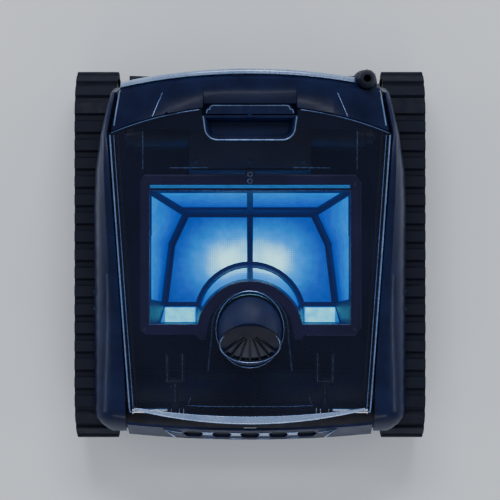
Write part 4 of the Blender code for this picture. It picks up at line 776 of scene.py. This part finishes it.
cover_low, cover_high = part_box("motor_block_cover")
cover_top = cover_high.z * 1000 + 0.1
k = 0
for x in (-62, 0, 62):
    for y in (cover_low.y * 1000 + 7, cover_high.y * 1000 - 7):
        screw(f"cover_screw_{k}", (x, y, cover_top), "Z", 1, "chassis")
        k += 1
for side, word in ((-1, "left"), (1, "right")):
    for j, y in enumerate((-84.0, 80.5)):
        screw(f"{word}_rim_screw_{j}", (side * 119.5, y, rim_top + 0.1), "Z", 1, "chassis", 2.4)
    for j, y in enumerate((-120.0, -40.0, 40.0, 120.0)):
        screw(f"{word}_plate_screw_{j}", (side * 150.1, y, 118.0), "X", side, "chassis", 2.6)
    screw(f"{word}_arm_screw", (side * 89.1, -150.0, 146.5), "X", side, "lid", 1.8)
print("screws placed:", k + 14)

# %% [markdown]
# ## Painted highlights on the lid's arms
#
# Each arm ends in a crossbar with two prongs that press against the lid from below. Pale beads on their top
# edges paint the thin highlight lines that the prongs show through the smoke. Each line is a bead that rides
# on the lid, just above the arm and just below the clear skin.

# %% Arm edges
def under_lid(path, drop=3.55):
    return [(x, y, lid_z(96, y) - drop) for x, y in path]


for side, word in ((-1, "left"), (1, "right")):
    # pale beads along the prongs, the crossbar and the arm paint their edge highlights
    for j, x in enumerate((76.3, 93.7)):
        line = [(side * x, -111.8 - 31.6 * i / 4) for i in range(5)]
        bead(f"{word}_prong_edge_{j}", under_lid(line), 0.5, EDGE, "lid", "pale_trim", sides=6)
    middle_line = [(side * 85, -146.5 - 22 * i / 3) for i in range(4)]
    bead(f"{word}_arm_edge", under_lid(middle_line), 0.45, EDGE, "lid", "pale_trim", sides=6)
    across = [(side * x, -143.2) for x in (75.5, 80.0, 85.0, 90.0, 94.5)]
    bead(f"{word}_crossbar_edge", under_lid(across, 3.9), 0.45, EDGE, "lid", "pale_trim", sides=6)
    knob = [(132.2, 0.0), (132.2, 3.7), (134.2, 3.7), (134.2, 0.0)]
    knob = [(side * a, r) for a, r in knob]
    turned(f"{word}_pin_collar", knob, (0, HINGE_Y, HINGE_Z), "X", STEEL, "chassis", "steel", 16, 0.3)
print("prongs lie", round(lid_z(96, -128) - 3.8), "mm up")

# %% [markdown]
# ## The front grille's bright parts
#
# The grille itself is dark. Silver bars stand between its six-sided vents, wider at their ends where they
# meet the corners of the vents, and a silver bracket closes each end of the row. They follow the nose: its
# slope and its bow are two short formulas. A dark mesh behind the vents keeps twigs out.

# %% Grille bars, brackets and mesh
NOSE_HALF, NOSE_SLOPE, NOSE_FRONT, NOSE_FRONT_Z = 150.0, 0.371, -213.0, 97.0
VENT_PITCH = 32.5


def on_nose(x, z, out=1.7):
    """A point on the nose's outer face, and how far it stands out."""
    return (x, NOSE_FRONT + 8 * (x / NOSE_HALF) ** 2 + (z - NOSE_FRONT_Z) * NOSE_SLOPE - out, z)


def nose_plate(name, outline, out, thick, finish, slot):
    rings = [[on_nose(x, z, o) for x, z in outline] for o in (out, out - thick)]
    return piece(name, *skin(rings, False), finish, "chassis", slot, 0.25)


for k in range(4):
    x = (k - 1.5) * VENT_PITCH
    bar = [(x - 6.4, 124.5), (x + 6.4, 124.5), (x + 4.3, 120.2)]
    bar += [(x + 6.4, 116.0), (x - 6.4, 116.0), (x - 4.3, 120.2)]
    nose_plate(f"grille_bar_{k}", bar, 2.4, 0.85, TRIM_AND_HIGHLIGHT, "pale_trim")
    foot = [(x - 7.0, 103.4), (x + 7.0, 103.4), (x + 5.6, 101.6), (x - 5.6, 101.6)]
    nose_plate(f"grille_foot_{k}", foot, 2.3, 0.75, EDGE, "pale_trim")
for side, word in ((-1, "left"), (1, "right")):
    bracket = [(78.8, 121.5), (97.2, 128.8), (87.0, 101.4)]
    bent = [on_nose(side * x, z, 2.1) for x, z in bracket]
    bead(f"{word}_grille_bracket", bent, 1.0, TRIM_AND_HIGHLIGHT, "chassis", "pale_trim")
mesh_rings = []
for i in range(13):
    x = -86 + 172 * i / 12
    mesh_rings.append([on_nose(x, z, out) for z, out in ((101, -1.9), (129, -1.9), (129, -2.5), (101, -2.5))])
piece("grille_mesh", *skin(mesh_rings, False), INNER, "chassis", "black_plastic", 0.0)
grille_low, grille_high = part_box("front_grille")
print("grille is", round((grille_high.x - grille_low.x) * 1000), "mm wide")

# %% [markdown]
# ## The shroud round the pump's duct
#
# A thin wall shaped like a horseshoe stands in front of the canister's arch and carries the flow of water
# round the duct. It is one outline, offset to both sides of a path, and drawn upwards.

# %% Duct shroud
PUMP_Y = -84.0
SHROUD_LOW, SHROUD_HIGH = 118, 156
line = [(-47.5, -132), (-45.5, -112), (-43.5, -96)]
line += [(-43 * math.cos(math.pi * i / 16), PUMP_Y + 43 * math.sin(math.pi * i / 16)) for i in range(17)]
line += [(43.5, -96), (45.5, -112), (47.5, -132)]
shroud_rings = []
for i, (x, y) in enumerate(line):
    x0, y0 = line[max(i - 1, 0)]
    x1, y1 = line[min(i + 1, len(line) - 1)]
    out = Vector((y0 - y1, x1 - x0, 0)).normalized() * 0.8
    foot, edge = Vector((x, y, SHROUD_LOW)), Vector((x, y, SHROUD_HIGH))
    shroud_rings.append([foot + out, edge + out, edge - out, foot - out])
piece("duct_shroud", *skin(shroud_rings, False), INNER, "chassis", "black_plastic", 0.3)
bead("shroud_edge", [(x, y, 156.2) for x, y in line], 0.8, EDGE, "chassis", "pale_trim", sides=6)
for side, word in ((-1, "left"), (1, "right")):
    web = [(side * 38.6, -86), (side * 42.6, -86), (side * 42.6, -83), (side * 38.6, -83)]
    plate(f"{word}_shroud_web", web, "Z", 120, 140, INNER, "chassis", "black_plastic", 0.3)

# %% [markdown]
# ## Painted highlight lines round the outlet
#
# The hood has a thin pale bead at its foot, and the barred ring has one on its face: their colour paints the
# thin highlight lines at those edges. Both are ellipses. The ring leans forward, so its ellipse is tilted by
# the same slope as the ring itself.

# %% Outlet beads
foot_path = []
for i in range(28):
    angle = 2 * math.pi * i / 28
    x, y = 38.2 * math.cos(angle), PUMP_Y + 43.4 * math.sin(angle)
    foot_path.append((x, y, lid_z(x, y) + 0.1))
bead("hood_foot_bead", foot_path, 0.6, EDGE, "lid", "pale_trim", closed=True)

grille = nodes["outlet_grille"].data.vertices
front = min(grille, key=lambda v: v.co.y).co * 1000
back = max(grille, key=lambda v: v.co.y).co * 1000
middle, lean = (front + back) / 2, (back - front) / 2
lean.x = 0
normal = Vector((1, 0, 0)).cross(lean).normalized()


def on_ring(angle, half, share):
    """A point on the ring's plane: half is the ellipse's half width, share its part of the length."""
    across = Vector((half * math.cos(angle), 0, 0))
    return Vector((0, middle.y, middle.z)) + across + lean * (share * math.sin(angle))


ring_path = [on_ring(2 * math.pi * i / 32, 33.8, 0.93) + normal * 1.3 for i in range(32)]
bead("grille_ring_bead", ring_path, 0.6, EDGE, "lid", "pale_trim", closed=True)
screen_rings = []
for depth in (-3.4, -2.6):
    screen_rings.append([on_ring(2 * math.pi * i / 28, 29.5, 0.80) + normal * depth for i in range(28)])
piece("outlet_screen", *skin(screen_rings, False), SCREEN, "lid", "black_plastic", 0.2)
print("ring leans", round(math.degrees(math.atan2(lean.z, lean.y))), "degrees")

# %% [markdown]
# ## Wheels
#
# A moulded wheel isn't a plain dish: spokes tie its hub to its rim. Each spoke is a plate that gets lower
# towards the rim. They ride on the wheel, so they show that it turns.

# %% Wheel spokes
WHEEL_FACE, SPOKES = 173.2, 7
for corner in CORNERS:
    low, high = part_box(f"{corner}_wheel")
    side = 1 if high.x > 0 else -1
    cy, cz = (low.y + high.y) * 500, (low.z + high.z) * 500
    for k in range(SPOKES):
        angle = 2 * math.pi * k / SPOKES
        along = Vector((0, math.cos(angle), math.sin(angle)))
        over = Vector((0, -math.sin(angle), math.cos(angle)))
        rings = []
        for reach, height in ((13.6, 21), (24, 13), (36, 9), (42.6, 9)):
            foot = Vector((side * WHEEL_FACE, cy, cz)) + along * reach
            top = foot + Vector((side * height, 0, 0))
            rings.append([foot - over * 1.8, top - over * 1.3, top + over * 1.3, foot + over * 1.8])
        piece(f"{corner}_spoke_{k}", *skin(rings, False), NYLON, f"{corner}_wheel_body", "gear_nylon", 0.4)
print("spokes on", len(CORNERS), "wheels")

# %% [markdown]
# ## The gland's grip ring and the catches
#
# Wet hands need something to turn, so the nut on the cable gland is ribbed. A small catch sits low on each
# side cover, where the cover clips to the chassis.

# %% Gland ribs and catches
gland_low, gland_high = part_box("cable_gland")
gx, gy = (gland_low.x + gland_high.x) * 500, (gland_low.y + gland_high.y) * 500
for k in range(12):
    angle = 2 * math.pi * k / 12
    x, y = gx + 10.15 * math.cos(angle), gy + 10.15 * math.sin(angle)
    base = gland_high.z * 1000 - 22
    bead(f"gland_rib_{k}", [(x, y, base), (x, y, base + 13)], 0.7, INNER, "chassis", "black_plastic", sides=6)
for side, word in ((-1, "left"), (1, "right")):
    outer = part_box(f"{word}_side_cover")[1 if side > 0 else 0].x * 1000
    for j, y in enumerate((-62.0, -42.0)):
        catch = [(outer - 0.2 * side, y, 120), (outer - 0.2 * side, y, 126)]
        bead(f"{word}_catch_{j}", catch, 0.9, EDGE, "chassis", "pale_trim", sides=6)
print("gland top at", round(gland_high.z * 1000), "mm")

# %% [markdown]
# ## Stage, light and camera
#
# The floor is plain and pale. Three soft strips stand low around the cleaner, and a box hangs behind it:
# light that grazes a dark glossy shell draws its edges, while light from straight above would only whiten
# the lid. The camera looks straight down from two and a half metres, with a long lens.

# %% Floor, lights, camera
def stage_floor():
    made = blank("studio_floor", (0.80, 0.82, 0.86), 0.6)
    feed(made, "Base Color", two_shades(made, cloud(made, 300, 3), (0.78, 0.80, 0.84), (0.82, 0.84, 0.88)))
    mesh = bpy.data.meshes.new("studio_floor")
    half = 4.0
    corners = [(-half, -half, 0), (half, -half, 0), (half, half, 0), (-half, half, 0)]
    mesh.from_pydata(corners, [], [(0, 1, 2, 3)])
    mesh.materials.append(made)
    floor = bpy.data.objects.new("studio_floor", mesh)
    bpy.context.scene.collection.objects.link(floor)


def soft_light(name, at, wide, high, watts, colour=(1, 1, 1)):
    """A soft box that faces the cleaner."""
    data = bpy.data.lights.new(name, "AREA")
    data.shape = "RECTANGLE"
    data.size, data.size_y = wide, high
    data.energy = watts
    data.color = colour
    made = bpy.data.objects.new(name, data)
    made.location = at
    made.rotation_euler = (Vector((0, 0, 0.1)) - Vector(at)).to_track_quat("-Z", "Y").to_euler()
    bpy.context.scene.collection.objects.link(made)


stage_floor()
soft_light("rear_box", (0.0, 1.7, 2.2), 1.6, 0.7, 40, (0.93, 0.96, 1.0))
soft_light("left_strip", (-1.9, 0.0, 0.8), 2.2, 0.22, 12, (0.90, 0.95, 1.0))
soft_light("right_strip", (1.9, 0.0, 0.8), 2.2, 0.22, 12, (0.90, 0.95, 1.0))
soft_light("front_strip", (0.0, -2.0, 0.9), 2.0, 0.25, 11, (0.96, 0.97, 1.0))

world = bpy.data.worlds.new("studio")
world.use_nodes = True
world.node_tree.nodes["Background"].inputs["Color"].default_value = (0.80, 0.86, 0.95, 1)
world.node_tree.nodes["Background"].inputs["Strength"].default_value = 0.40
bpy.context.scene.world = world

camera = bpy.data.objects.new("camera", bpy.data.cameras.new("camera"))
camera.data.lens = 149.3
camera.data.sensor_width = 36.0
camera.location = (0.0, 0.0053, 2.5)
bpy.context.scene.collection.objects.link(camera)
bpy.context.scene.camera = camera
print("camera is", camera.location.z, "m up")
